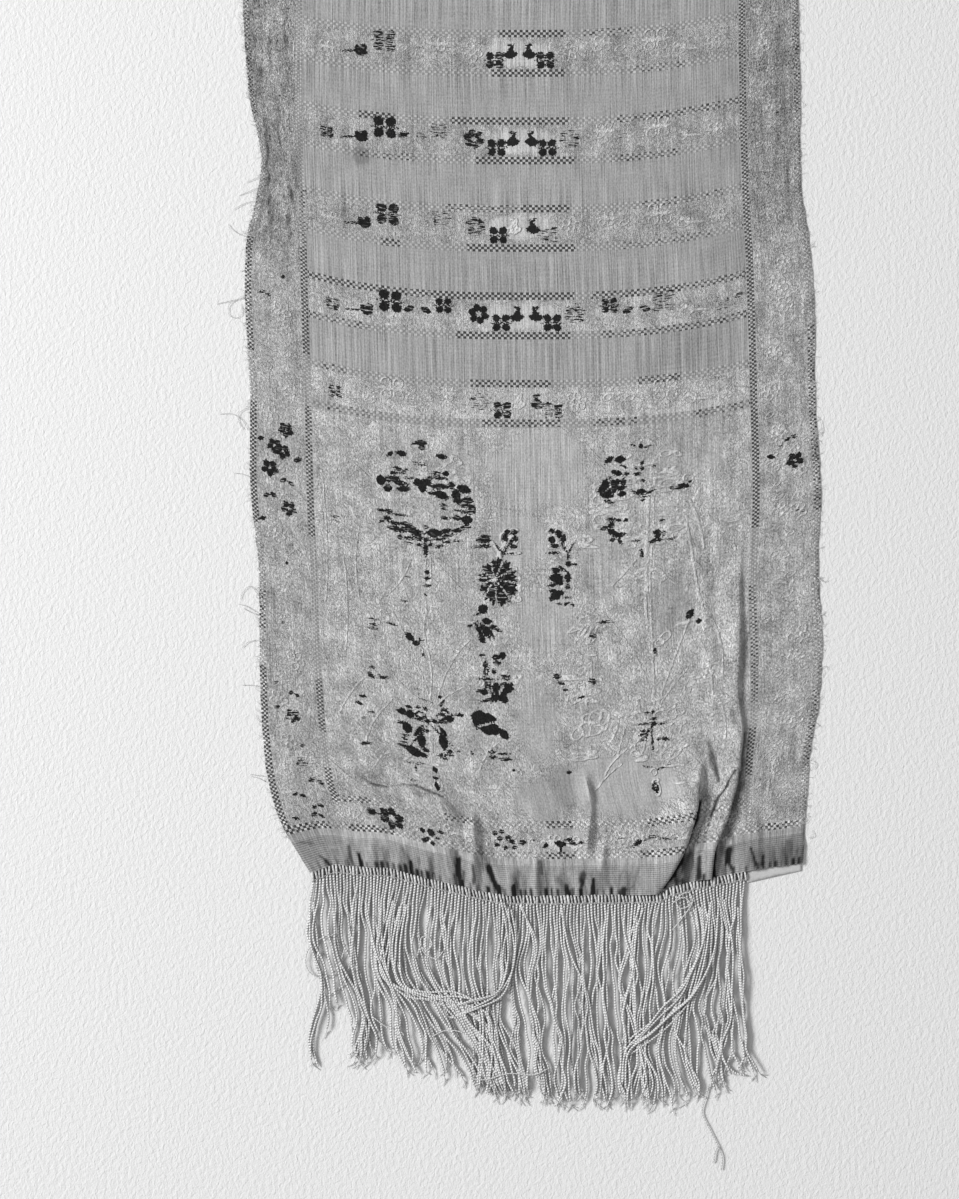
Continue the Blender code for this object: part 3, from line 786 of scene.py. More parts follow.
# Single figures in the side borders and the hem's band
FIGURES: Sequence[tuple[Motif, float, float, float, int, float]] = (
    # motif, photo_x, photo_y, size, side, left dark
    (Motif.BLOOM, 286, 430, 1.0, 1, 0.9),
    (Motif.LEAF, 261, 438, 0.7, 1, 0.9),
    (Motif.BLOOM, 274.5, 445.5, 0.95, 1, 0.95),
    (Motif.BLOOM, 283, 451.5, 1.0, 1, 0.95),
    (Motif.LEAF, 298, 460, 0.9, 1, 0.9),
    (Motif.BLOOM, 270, 468, 1.1, -1, 0.95),
    (Motif.PAIR, 287, 482, 0.85, 1, 0.85),
    (Motif.PAIR, 270, 495, 0.85, -1, 0.85),
    (Motif.BLOOM, 289, 508.5, 1.0, 1, 0.85),
    (Motif.LEAF, 263, 518, 0.75, 1, 0.9),
    (Motif.LEAF, 283, 277, 0.5, 1, 0.8),
    (Motif.PAIR, 265, 293, 0.7, 1, 0.6),
    (Motif.LEAF, 291, 545, 0.45, 1, 0.7),
    (Motif.LEAF, 287, 563, 0.45, 1, 0.75),
    (Motif.LEAF, 283, 622, 0.4, 1, 0.7),
    (Motif.LEAF, 294, 655, 0.45, 1, 0.7),
    (Motif.LEAF, 276, 682, 0.45, 1, 0.75),
    (Motif.PAIR, 294, 694, 0.7, 1, 0.8),
    (Motif.LEAF, 277, 707, 0.6, 1, 0.6),
    (Motif.BLOOM, 293, 716, 0.95, 1, 0.75),
    (Motif.LEAF, 303, 745, 0.6, 1, 0.7),
    (Motif.BLOOM, 302, 762, 0.7, 1, 0.5),
    (Motif.PAIR, 316, 781, 0.9, 1, 0.75),
    (Motif.PAIR, 299, 795, 0.8, 1, 0.7),
    (Motif.PAIR, 318, 806, 0.75, -1, 0.85),
    (Motif.LEAF, 296, 818, 0.6, -1, 0.8),
    (Motif.PAIR, 318, 815, 0.8, 1, 0.85),
    (Motif.BLOOM, 795, 460, 1.05, 1, 0.9),
    (Motif.LEAF, 771, 457, 0.8, -1, 0.95),
    (Motif.PAIR, 791, 438, 0.8, -1, 0.8),
    (Motif.LEAF, 781, 447, 0.5, -1, 0.6),
    (Motif.PAIR, 800, 510, 0.6, 1, 0.5),
    (Motif.LEAF, 739, 295, 0.8, 1, 0.7),
    (Motif.BUD, 372, 812, 0.75, 1, 0.9),
    (Motif.RING, 392, 818, 1.25, 1, 0.93),
    (Motif.PAIR, 655, 836, 0.7, 1, 0.35),
    (Motif.LEAF, 676, 838, 0.5, 1, 0.4),
)

# Dark shapes of the end panel's plants
BLOTS: Table = (
    # photo_x, photo_y, half_x, half_y, tilt, left dark, or below zero for a pale gap
    (421, 443, 5.4, 2.8, 0, 0.95), (422, 447.6, 3, 2.6, 0, 0.95), (415, 443.4, 2.6, 0.9, 20, 0.9),
    (390, 453.6, 3.4, 1.8, 35, 0.95), (401.4, 453.6, 5.2, 2.5, -8, 1), (441.6, 456.6, 5.4, 2.4, -8, 1),
    (418, 463, 4, 0.6, 0, 0.8), (422, 465, 4.4, 0.6, 0, 0.8), (398, 468.6, 3.8, 1.6, -8, 0.95),
    (393.6, 473, 3.4, 1.5, 0, 0.9), (402, 472.6, 3.4, 1, 0, 0.8), (406, 470, 2, 1.2, 0, 0.8),
    (381, 480, 4.7, 5, 0, 1), (388.6, 479, 3.4, 3.2, 0, 0.9), (395, 477.6, 4.2, 1.8, 0, 0.9),
    (388, 488, 4.6, 3.4, 20, 0.95), (400, 482.6, 8.4, 2.8, -12, 0.97), (403.6, 489, 6.6, 2.5, 6, 1),
    (409, 478, 4.2, 0.9, 0, 0.85), (418, 482.6, 4.6, 4.2, 20, 1), (427, 482.4, 5, 3.4, -20, 1),
    (422.4, 487, 4, 5.8, 0, 1), (436, 473, 5.4, 1.7, 0, 0.8), (446, 473.6, 3, 2.4, 0, 0.95),
    (439, 478, 7.4, 1.4, -4, 0.8), (430, 478.4, 3.4, 1.6, 0, 0.85), (440, 486.6, 9.4, 2.5, 2, 0.95),
    (440, 494.4, 8.2, 3.8, -20, 1), (446, 497.6, 3.4, 2.4, 0, 0.95), (431, 492.6, 3.6, 2, -10, 0.9),
    (451.6, 485.6, 3.2, 3.8, 0, 0.9), (456, 495, 4.6, 5.6, 0, 0.97), (464, 489, 7, 4.2, -20, 0.98),
    (458, 501, 4.4, 2.6, 0, 0.9), (468, 500, 5.4, 3.4, -10, 0.9), (467, 506, 7.4, 1.8, 0, 0.85),
    (472, 508.6, 3.6, 3.8, 0, 0.9), (458, 511, 5.4, 1.1, 0, 0.8), (468, 512.4, 7, 1.8, 0, 0.85),
    (444, 505, 3.2, 1.2, 0, 0.7), (444.6, 509, 3.2, 1.2, 0, 0.7), (445, 518, 4.2, 1.6, 0, 0.85),
    (457, 518, 4.4, 2.6, 0, 0.9), (467, 520, 5.6, 4.4, 0, 0.98), (466, 527, 4.8, 2, 0, 0.85),
    (457.6, 530.6, 5, 2, 12, 0.85), (381, 510.4, 3.6, 1.6, 0, 0.85), (389, 511, 3.6, 2.2, 0, 0.9),
    (400, 515, 6.4, 1, 0, 0.8), (387.6, 518, 3.6, 2, 0, 0.9), (382, 521, 2.8, 1.2, 20, 0.8),
    (395, 523, 5.8, 1.6, -8, 0.85), (406, 524, 6, 2, -8, 0.85), (395, 528.6, 7.6, 2.6, -8, 0.9),
    (404, 529.6, 3.2, 2.8, 0, 0.9), (411, 528, 5.4, 2.4, 0, 0.9), (417, 533, 8, 3.2, -4, 0.93),
    (434, 533, 7.8, 4, 0, 0.97), (446, 531, 5.8, 2.2, 12, 0.9), (448, 535.6, 6.4, 1.7, 12, 0.85),
    (426, 527, 2.4, 2, 0, 0.6), (400, 537, 2.4, 2.4, 0, 0.9), (409, 538, 4.4, 1.6, -6, 0.85),
    (422, 539, 9.4, 1.8, 0, 0.85), (440, 539, 5.4, 1.4, 8, 0.85), (409, 543, 2.8, 1, 0, 0.8),
    (419, 545, 2.4, 1.8, 0, 0.85), (431, 545, 2.4, 2, 0, 0.9), (439, 546.4, 3.6, 1.4, 15, 0.85),
    (448, 541.6, 4.4, 1.5, 12, 0.85), (456, 541, 2.6, 0.6, 0, 0.7), (425.4, 549, 2.5, 6.8, 0, 0.97),
    (422.4, 524, 1, 23, 0, -1), (414, 489.6, 10.5, 0.7, -28, -1), (435, 490.6, 11, 0.7, 12, -1),
    (427.2, 572.4, 2.4, 2.3, 0, 0.95), (427, 578.4, 2.9, 1.4, 0, 0.95), (427.4, 585.6, 3.5, 1.4, 0, 0.9),
    (408, 577, 2.2, 0.8, -10, 0.8),
    (402, 711, 4.6, 3.4, 0, 1), (409, 707, 3, 1.7, -15, 0.9), (418, 707, 2.6, 1.5, 0, 0.9),
    (426, 709, 3, 1.5, -30, 0.9), (410, 714, 4.8, 4.4, 0, 1), (420.5, 715, 5.8, 4.2, -6, 1),
    (420.6, 714.6, 3.4, 2.2, 0, -1), (419, 719.4, 4.6, 1.4, -10, 0.9), (427.6, 721, 2.6, 2.2, 0, 1),
    (434.5, 721.4, 2.8, 1.8, -20, 1), (441.5, 717, 5.6, 4.2, -5, 1), (440.4, 717.2, 3.2, 2.2, 0, -1),
    (442, 722, 5.2, 1.3, 6, 0.95), (450, 719, 4.6, 3.6, 0, 1), (460, 715, 3.2, 1.7, 0, 1),
    (455, 714.6, 3.2, 0.7, 0, 0.9), (444, 709.6, 3.2, 1.5, 20, 0.9), (447, 712, 2.2, 1.2, -20, 0.9),
    (441.6, 704, 1.2, 3, -20, 0.85), (440, 697, 1.9, 1.7, 0, 0.9), (444, 701, 1.5, 0.9, 0, 0.8),
    (407.4, 727.6, 5, 6, 10, 1), (401.4, 722.4, 3.6, 1.6, 0, 0.95), (418.5, 731, 7.6, 2.1, 53, 1),
    (419, 735.6, 9.6, 0.9, 51, 0.95), (427.6, 731, 2.5, 1.5, 20, 0.85), (422, 741, 3.9, 7.4, -8, 1),
    (414.6, 751, 9.4, 5.4, -18, 1), (421, 754, 6.4, 2.8, -14, 1), (426, 750, 3.4, 2.2, -25, 1),
    (418, 748.4, 11.5, 0.9, -32, -1), (404, 745.4, 5.6, 1.4, -8, 0.95), (404, 742, 3, 0.9, 0, 0.8),
    (405, 738.6, 2.8, 0.9, -8, 0.8), (405, 735, 3.4, 0.8, -8, 0.8), (443, 731.4, 5.8, 1.8, -50, 1),
    (441, 735, 9.4, 0.8, -43, 0.95), (443.5, 742, 4.4, 9.6, 8, 1), (450, 751.6, 3.2, 2.2, 0, 0.95),
    (443, 755, 4, 1.5, 12, 0.95), (451, 755.6, 2.4, 0.9, 0, 0.85), (445, 758.8, 3.2, 0.9, 0, 0.9),
    (448, 748.6, 7, 0.8, 52, -1), (459, 751.4, 1.4, 0.7, 0, 0.8), (411, 762.4, 3.2, 0.6, 5, 0.7),
    (419.5, 763.6, 3.2, 0.7, 10, 0.8), (416, 768, 0.9, 1.8, 0, 0.8), (413, 779.6, 2.6, 0.8, 0, 0.8),
    (435, 769.6, 2.7, 3, 0, 1), (436, 778.3, 2.7, 1.5, -15, 0.97), (437.4, 786.6, 2.3, 4.6, 14, 1),
    (485, 536.4, 5.2, 1.4, 0, 0.8), (482, 540, 5.6, 2.5, 0, 0.87), (487, 540, 3.6, 2.8, 0, 0.9),
    (479, 546.6, 6, 1.2, 8, 0.85), (486, 546, 4.2, 2, 0, 0.85), (499.6, 549.4, 5.8, 0.8, -52, 0.95),
    (506.4, 548.6, 6, 0.8, 62, 0.95), (511, 553.6, 7, 0.5, 0, 0.8), (507.4, 532, 2.6, 2.7, 0, 1),
    (514, 532.6, 4, 2.2, 20, 1), (505, 538, 2.7, 4, 20, 1), (515.4, 538.8, 2.8, 2.6, 0, 0.95),
    (511, 542, 1.9, 2.8, -20, 0.95), (513.6, 546.6, 3.4, 2, 0, 0.95), (510, 538, 0.6, 8, -24, -1),
    (483, 609, 5.2, 4.8, 30, 1), (478, 614, 3, 0.8, 20, 0.95), (487, 621, 4.8, 3, -8, 1),
    (479.8, 632, 9.6, 1.9, -60, 1), (484.6, 631, 9.6, 1.8, -56, 1), (489, 631, 8.6, 1.7, -52, 1),
    (482, 640, 3.8, 2.2, -38, 0.97), (493.4, 627, 3.6, 2.3, 0, 0.95), (498, 630, 4, 1.4, -20, 0.95),
    (470, 626, 2.4, 1.5, 20, 0.9), (502.6, 655.6, 3.4, 4, 0, 1), (496, 657.6, 3.8, 3.6, 0, 0.85),
    (497, 663, 3.9, 2.4, 0, 0.9), (482, 655, 2.6, 0.9, 0, 0.9), (485.6, 664.4, 2.2, 3.2, 0, 0.9),
    (484.6, 671.4, 0.9, 5.4, -8, 0.9), (488, 671, 0.9, 5, -12, 0.9), (494, 671.6, 2.2, 2.8, 0, 0.7),
    (487, 679, 8, 0.8, 0, 0.9), (506, 676, 4.4, 0.9, 0, 0.95), (506, 679.2, 4, 0.8, 0, 0.95),
    (486, 684.6, 1, 4.4, 0, 0.9), (490, 686, 1.1, 4.8, 0, 0.9), (484.4, 692, 4, 2.9, -14, 0.97),
    (479, 691, 2.2, 1.3, 0, 0.9), (487.6, 700, 5.8, 1.4, 14, 0.95), (492.6, 696, 1.1, 5.2, -14, 0.95),
    (496.4, 688, 4.2, 5, 0, 1), (500, 696, 4.8, 5, 0, 1), (495.6, 698, 3.4, 3.8, 0, 1),
    (504.6, 699.4, 4, 4.2, 0, 1), (503, 692, 4.8, 4.2, 0, 1), (509, 688.4, 4.6, 4.4, 0, 1),
    (505, 684.8, 4.6, 2.2, 0, 1), (511.6, 684, 1.6, 1.5, 0, 0.95), (501, 690, 1.2, 6, -30, -1),
    (480, 717.6, 9, 7, -10, 1), (475.8, 720, 3.4, 8.4, 0, 1), (487.6, 718, 8.6, 4.4, -10, 1),
    (489.6, 728.8, 10.4, 6, -4, 1), (495, 729.4, 4.4, 6.4, 0, 1), (503.8, 734, 6.2, 4, -48, 1),
    (486, 724.4, 15, 1, 14, -1),
    (492, 752, 3.4, 1.6, 0, 0.75), (493, 757.2, 3.8, 1.3, 0, 0.9), (505, 759, 6.4, 1.7, -5, 0.9),
    (503, 753.6, 5.4, 0.9, 0, 0.8), (514, 770.6, 1.3, 1.3, 0, 0.8),
    (552.6, 531, 4, 2.2, -12, 1), (559, 534, 3.2, 3.9, 10, 1), (552, 540, 3.4, 3.4, 0, 1),
    (555, 546, 3.6, 2.1, 0, 1), (563.4, 539, 2.3, 4.4, -12, 0.95), (557, 537, 0.6, 7, 24, -1),
    (564.6, 548, 6.4, 0.8, -60, 0.95), (570.6, 549, 5, 0.6, 62, 0.85), (553.6, 553, 4.8, 1.1, 0, 0.9),
    (568.4, 564, 3, 2.5, -30, 0.97), (574.8, 564.4, 2, 1.3, 0, 0.95), (568, 558, 0.5, 4.4, -10, 0.8),
    (556, 570.6, 4.4, 2.7, -20, 1), (556, 578, 6.8, 4.6, 0, 1), (562.6, 569, 4.4, 1.7, -35, 0.97),
    (552.6, 585, 4, 1.5, 10, 0.95), (560, 582, 4.6, 3.2, 0, 1), (568, 577.4, 2.9, 4.8, 0, 0.98),
    (568, 586.6, 2.5, 2.3, 0, 0.9), (556.4, 595, 5.6, 4.6, 20, 1), (552, 598.6, 3.2, 2.4, 20, 0.97),
    (561.6, 592.4, 3.2, 2.2, 0, 0.95), (553, 590.6, 3.6, 1.3, 0, 0.95), (564, 580, 0.8, 12, 0, -1),
    (567, 597.6, 2.8, 0.9, 0, 0.85), (566, 604, 2.5, 1.1, 25, 0.95), (572, 604.4, 2.2, 1, -30, 0.9),
    (559, 604, 2, 0.9, 0, 0.85), (557, 677.6, 3, 1.5, 0, 0.95), (556.6, 674.8, 2.6, 1, 0, 0.95),
    (561.6, 683.4, 3.4, 1.1, -20, 0.95), (565.6, 690, 2.1, 1.2, 0, 0.95), (582, 697, 3, 1, 12, 0.9),
    (593, 636, 3.6, 2.8, 0, 0.72), (594, 681.6, 1.6, 3, 0, 0.85), (590, 681, 1, 2.2, 0, 0.75),
    (569, 772.4, 2.2, 2.2, 0, 0.9),
    (641, 446, 2.4, 2.2, 0, 1), (647, 446.6, 3.2, 0.8, 10, 0.9), (633, 445, 2.2, 0.8, -30, 0.8),
    (609, 460, 5, 2.4, 38, 1), (620, 459.4, 5.4, 3.3, 5, 1), (642, 463, 1.5, 2, -20, 0.9),
    (624, 466.6, 3.2, 1.1, -28, 0.9), (636, 468, 1.7, 1.5, 0, 0.85), (642, 468.6, 1.9, 1.7, 0, 0.9),
    (654, 466, 1.5, 0.9, 0, 0.85), (617, 473, 5.8, 2.4, -18, 1), (626.4, 474, 2.1, 1.9, 0, 0.95),
    (637.4, 474, 3.4, 1.4, 0, 0.95), (643, 480.6, 1.9, 1.3, 0, 0.9), (610, 477.4, 1.7, 1.3, 0, 0.9),
    (606, 484, 4.2, 5, -30, 1), (602.4, 489, 5, 3.2, 32, 1), (613, 483.6, 5, 3.4, -20, 0.97),
    (617.4, 481.4, 2.8, 2.6, 0, 0.97), (613.6, 489, 3, 3.8, 20, 0.97), (607, 495, 6.8, 3.4, -8, 1),
    (610.6, 492, 3.2, 5.2, 0, 1), (623.4, 481.6, 2.6, 3.3, 0, 0.95), (622, 488, 4.8, 2.1, 14, 0.97),
    (616.6, 487.4, 3, 1.9, -10, 0.95), (622, 494, 3.9, 2.5, 10, 0.95), (609, 501.8, 4.2, 1.5, -14, 0.9),
    (609.6, 484, 0.6, 9, 14, -1), (641.4, 491.6, 4.6, 2.6, -8, 1), (635, 492.6, 3.4, 0.9, -34, 0.9),
    (650, 492, 3.8, 0.9, 18, 0.9), (644, 496.6, 3.4, 0.6, 0, 0.85), (643, 500, 1.8, 1, 0, 0.85),
    (690, 481.4, 1.6, 1.2, 25, 0.95), (684, 485.6, 5.2, 1.9, -12, 1), (671.6, 488, 1.5, 1.9, 0, 0.85),
    (678, 488.2, 3.8, 1.3, -12, 0.85), (611, 519.2, 4.2, 1.1, 0, 0.85), (619, 520.2, 2.6, 1.3, 0, 0.9),
    (626, 520, 2, 1.7, 25, 0.95), (611.4, 524.4, 2.3, 3.2, 0, 0.95), (604.6, 528, 3.7, 1.9, 22, 0.95),
    (612, 532, 5.4, 2.8, -28, 1), (618, 535, 5.8, 2.2, -10, 0.97), (612.4, 540, 2.6, 1.9, 25, 0.95),
    (619.6, 541, 3.8, 1.6, -48, 0.95), (624, 533.6, 3, 0.7, -15, 0.85), (657, 532, 3.7, 2.2, 0, 0.97),
    (657.4, 536, 2.9, 2.8, 20, 0.95), (659.8, 539.6, 2.1, 1.5, 0, 0.95), (653, 541, 3.7, 1.7, 10, 0.95),
    (664, 533, 1.5, 2.6, 0, 0.8), (662, 520, 2, 0.7, 0, 0.8), (637, 541, 3, 1.1, 0, 0.9),
    (641, 550, 1.5, 1.1, 0, 0.85), (642, 554.6, 1.9, 2.8, 0, 0.9), (672, 538.6, 3.4, 0.7, 12, 0.8),
    (690, 614, 3.2, 5.2, -38, 0.9), (699, 621, 2.8, 2.4, 0, 0.97), (605, 622, 6, 1.2, 0, 0.7),
    (652.8, 712, 1.3, 1.4, 0, 0.95), (647, 712.6, 1.7, 1, 0, 0.9), (653.7, 718.6, 2.8, 1.2, 0, 0.9),
    (653.7, 723.8, 2.6, 2.5, 0, 1), (643.8, 723.8, 4.4, 0.9, 0, 0.95), (661, 723.8, 3, 0.7, 0, 0.9),
    (643, 731, 3.4, 0.8, -10, 0.9), (643, 734.4, 3.4, 1, 10, 0.9), (644, 738.4, 3.4, 1.3, 35, 0.9),
    (647.4, 733, 0.9, 5.4, -12, 0.85), (651.4, 731, 0.8, 4, 0, 0.9), (652.4, 742, 0.9, 8.4, 4, 0.95),
    (665, 738.6, 4.6, 1.5, -14, 0.95), (658.6, 739, 1.7, 1.1, 0, 0.9), (646, 766.6, 3.4, 0.7, -14, 0.85),
    (664, 767, 5.4, 0.5, 10, 0.75), (655.6, 787.4, 3.4, 5.2, 0, 0.97), (655.4, 787, 1.3, 3.2, 0, -1),
    (655.2, 788, 0.5, 3, 0, 0.9), (410, 637, 5.2, 3.2, -38, 0.95), (416, 643, 3.6, 2.6, -20, 0.9),
    (373, 624, 3.6, 0.8, 0, 0.8), (373, 628, 4, 0.8, 0, 0.75), (372, 619, 3.4, 1, 10, 0.7),
    (392, 624, 4, 1, -8, 0.7), (371, 675, 4, 2.2, -40, 0.95), (384, 677.6, 4, 1.3, 12, 0.95),
    (379, 675, 2, 0.8, 0, 0.8), (372, 667, 2.6, 1.2, 0, 0.8), (363, 696, 3.4, 1.3, 5, 0.97),
    (359, 703, 3.4, 1.5, -12, 0.97), (366, 743, 5.4, 1.5, 16, 0.95), (364, 718, 2.2, 1.4, 0, 0.9),
    (337, 517, 4.6, 1, 0, 0.5), (338, 521, 3.6, 1, 0, 0.5), (424, 700, 5, 0.8, -14, 0.7),
    (472, 753, 2, 2, 0, 0.6), (655, 651, 1.6, 3, 0, 0.85), (404, 601, 2.6, 0.7, 0, 0.7),
    (425, 595, 2, 1, 0, 0.6), (424, 641, 2.6, 0.8, 0, 0.6), (424, 655, 2.6, 1.2, 0, 0.6),
    (371, 712, 3.4, 0.8, 10, 0.6), (420, 640, 1, 2.4, 0, 0.7),
    (422.4, 830, 2.8, 2.6, 0, 0.95), (431, 832.4, 3.8, 4.2, 0, 0.97), (441, 832.4, 3.4, 1.4, 0, 0.9),
    (433, 843.4, 2.3, 2.2, 0, 0.95), (425, 840, 3.2, 2.1, 20, 0.9), (437.6, 838, 1.7, 1.1, 0, 0.85),
    (428, 838, 1.9, 1.5, 0, 0.85), (495, 833, 2.8, 1.9, 30, 0.85), (502, 831.6, 2.6, 1.9, 0, 0.85),
    (499.6, 838.4, 3, 2, 0, 0.9), (508, 837.6, 2.9, 2, 20, 0.95), (497, 845, 2.9, 1.9, 0, 0.9),
    (505, 847.4, 3, 1.9, 0, 0.85), (512, 841.6, 3.2, 2.2, 0, 0.9), (514.4, 847.4, 2.6, 1.6, 0, 0.85),
    (523, 842.4, 3.6, 2.1, 0, 0.9), (534, 840, 1.6, 1.2, 0, 0.6), (546, 845.4, 3.4, 1.7, 30, 0.97),
    (560.6, 843.8, 5.6, 2.8, -8, 1), (560.8, 849.6, 1.2, 3, -20, 1), (569, 839.6, 3.4, 1.2, 10, 0.95),
    (573, 843.2, 3.6, 1.8, -20, 0.95), (582.4, 842.4, 2.6, 1.2, 0, 0.9), (638, 842.4, 4, 2.2, 30, 0.97),
    (651, 837.4, 3.6, 0.8, 0, 0.85), (661, 838, 2.8, 0.8, 0, 0.8), (646, 839.4, 1.6, 1, 0, 0.7),
    (634, 846, 2.6, 0.7, 10, 0.7), (668, 838.6, 2.4, 0.7, 0, 0.7), (620, 838, 3, 0.6, 0, 0.6),
)

# The toothed round flower of the panel, on the photograph: its middle and radii, the eye that
# its petals leave, and the bearings of the gaps between them
ROSETTE = (498.6, 582.0, 20.4, 24.4)
ROSETTE_EYE = (494.4, 579.4)
ROSETTE_GAPS: Sequence[float] = (100, 62, 28, -8, -50, -86, -122, -160, 172, 146)

# Its teeth, in radii: depth, how many and where they start. Its rim between them, in radii
ROSETTE_TEETH: Table = ((0.08, 29, 0), (0.07, 13, 1))
ROSETTE_RIM = 0.94

# In millimetres: the eye's radius, and a gap's half width at the eye, its growth and its waver
ROSETTE_EYE_RADIUS = 1.3
ROSETTE_GAP = 0.16
ROSETTE_GAP_GROWTH = 0.04
ROSETTE_GAP_WAVER = 0.25
ROSETTE_GAP_WAVES = 2.2
ROSETTE_OVERLAP = -0.5
ROSETTE_LEFT = 0.9

# Raised pale lines: stems, leaf edges and floats, each bent towards its middle point
PALE_LINES: Table = (
    # photo_x0, photo_y0, middle_x, middle_y, photo_x1, photo_y1, half_width
    (426, 560, 423, 590, 427, 612, 0.4), (427, 612, 421, 624, 428, 650, 0.4),
    (428, 650, 434, 672, 430, 702, 0.4), (431, 556, 430, 600, 434, 640, 0.3),
    (649, 498, 645, 560, 647, 592, 0.7), (654, 498, 651, 560, 650, 592, 0.35),
    (648, 560, 643, 600, 648, 626, 0.55), (634, 576, 640, 566, 646, 570, 0.8),
    (652, 570, 660, 566, 666, 578, 0.8), (632, 566, 640, 574, 647, 578, 0.4),
    (646, 592, 645, 620, 651, 655, 0.55), (651, 600, 651, 640, 653, 660, 0.35),
    (652, 655, 655, 680, 654, 705, 0.45),
    (437, 735, 420, 748, 405, 760, 0.5), (430, 730, 446, 742, 458, 756, 0.5),
    (433, 706, 415, 650, 392, 610, 0.35), (436, 706, 446, 660, 470, 640, 0.35),
    (431, 706, 402, 690, 384, 660, 0.35), (438, 704, 452, 690, 468, 686, 0.35),
    (655, 706, 640, 650, 605, 615, 0.35), (658, 706, 672, 660, 690, 618, 0.35),
    (660, 706, 668, 690, 688, 668, 0.35), (653, 707, 630, 690, 600, 680, 0.35),
    (636, 560, 624, 574, 612, 586, 0.4), (654, 566, 666, 578, 676, 584, 0.4),
    (411, 560, 404, 580, 392, 590, 0.4), (440, 566, 452, 580, 462, 590, 0.4),
    (610, 742, 620, 730, 618, 712, 0.4), (618, 758, 620, 742, 626, 726, 0.4),
    (605, 775, 612, 760, 628, 748, 0.3), (596, 790, 606, 776, 622, 764, 0.3),
    (686, 750, 700, 762, 706, 776, 0.4), (664, 760, 676, 768, 690, 764, 0.35),
    (366, 742, 372, 716, 392, 700, 0.4), (374, 768, 384, 744, 404, 756, 0.35),
    (480, 770, 486, 750, 500, 742, 0.35), (512, 782, 508, 768, 496, 756, 0.35),
    (448, 770, 462, 782, 490, 800, 0.3), (340, 712, 350, 690, 366, 676, 0.35),
    (300, 440, 310, 452, 322, 456, 0.3), (352, 462, 372, 476, 384, 500, 0.3),
    (690, 500, 700, 520, 704, 548, 0.6), (686, 520, 694, 560, 700, 600, 0.6),
    (712, 620, 724, 640, 722, 680, 0.6), (700, 640, 716, 670, 712, 720, 0.5),
    (674, 560, 690, 556, 700, 566, 0.5), (696, 590, 706, 604, 704, 630, 0.5),
    (720, 700, 728, 720, 724, 748, 0.5), (738, 700, 742, 730, 740, 770, 0.6),
    (322, 470, 330, 540, 326, 600, 0.35), (344, 560, 350, 600, 346, 650, 0.35),
    (360, 520, 352, 560, 360, 600, 0.35), (330, 760, 350, 780, 380, 796, 0.6),
    (470, 320, 480, 316, 490, 318, 0.25), (420, 300, 440, 296, 470, 304, 0.25),
)

# Where the checked rows beside the cross bands and the hem's band are still dark
CHECKS_LEFT: Table = (
    # along of the row, from, to, left dark
    (357.2, -46, 28, 1), (357.2, 47, 142, 0.55), (357.2, -140, -100, 0.4),
    (384.5, -140, -62, 0.8), (384.5, -62, 31, 1), (384.5, 41, 105, 0.75), (384.5, 105, 140, 0.55),
    (328.5, -37, 15, 0.85), (328.5, 69, 98, 0.65), (328.5, -136, -116, 0.35),
    (303.2, -30, 21, 0.75), (303.2, 40, 69, 0.55), (303.2, 104, 136, 0.4), (303.2, -130, -100, 0.3),
    (415.2, -37, 33, 1), (415.2, -92, -79, 0.85), (415.2, 60, 120, 0.3),
    (440.5, -2, 30, 0.95), (440.5, -50, -2, 0.45), (440.5, 70, 130, 0.3),
    (471.2, -30, 34, 1), (471.2, -105, -66, 0.35), (471.2, 56, 101, 0.45),
    (496.5, -46, 31, 0.95), (496.5, -104, -80, 0.85), (496.5, 60, 142, 0.5),
    (527.2, -19, 29, 1), (552.5, -14, 30, 1), (552.5, 40, 72, 0.35), (527.2, 70, 110, 0.3),
    (45.8, -138, -118, 0.55), (45.8, -4, 14, 0.75), (45.8, 60, 95, 0.7), (45.8, 150, 172, 0.5),
    (26.1, -174, -150, 0.9), (26.1, -139, -108, 0.8), (26.1, -7, 12, 0.75), (26.1, 52, 95, 0.7),
    (26.1, 150, 176, 0.55), (45.8, -70, -50, 0.5),
)

# Where the checked lines along both side borders are still dark
LINES_LEFT: Table = (
    # across of the line, from, to, left dark
    (-142, 332, 402, 0.85), (-142, 216, 300, 0.85), (-142, 90, 126, 0.8), (-142, 42, 66, 0.95),
    (-142, 402, 440, 0.35), (142, 222, 300, 1), (142, 300, 470, 0.85), (142, 470, 640, 0.75),
    (142, 110, 186, 0.6), (142, 62, 94, 0.95), (-178, 326, 402, 0.75), (-178, 218, 296, 1),
    (-178, 18, 128, 0.9), (-178, 148, 176, 0.6), (178, 226, 345, 0.55), (178, 60, 112, 0.5),
    (178, 480, 620, 0.4), (-178, 480, 620, 0.45),
)

# Where the panel's and bands' ground is still smooth, with less worn float
SMOOTH_PATCHES: Table = (
    # photo_x, photo_y, half_x, half_y, left rough
    (540, 470, 52, 46, 0.05), (545, 620, 30, 34, 0.1), (618, 786, 66, 34, 0.05), (536, 720, 22, 40, 0.15),
    (690, 440, 34, 40, 0.3), (600, 560, 20, 40, 0.25), (670, 610, 22, 34, 0.3), (540, 800, 26, 22, 0.1),
    (525, 403, 24, 14, 0.25), (525, 317, 52, 15, 0.05), (523, 228, 40, 14, 0.1), (522, 142, 42, 14, 0.05),
    (519, 54, 40, 14, 0.05), (458, 600, 18, 40, 0.45), (566, 840, 22, 14, 0.1), (676, 838, 18, 12, 0.35),
    (400, 440, 26, 10, 0.5), (465, 460, 22, 18, 0.35), (586, 720, 20, 30, 0.45), (520, 540, 30, 30, 0.1),
)

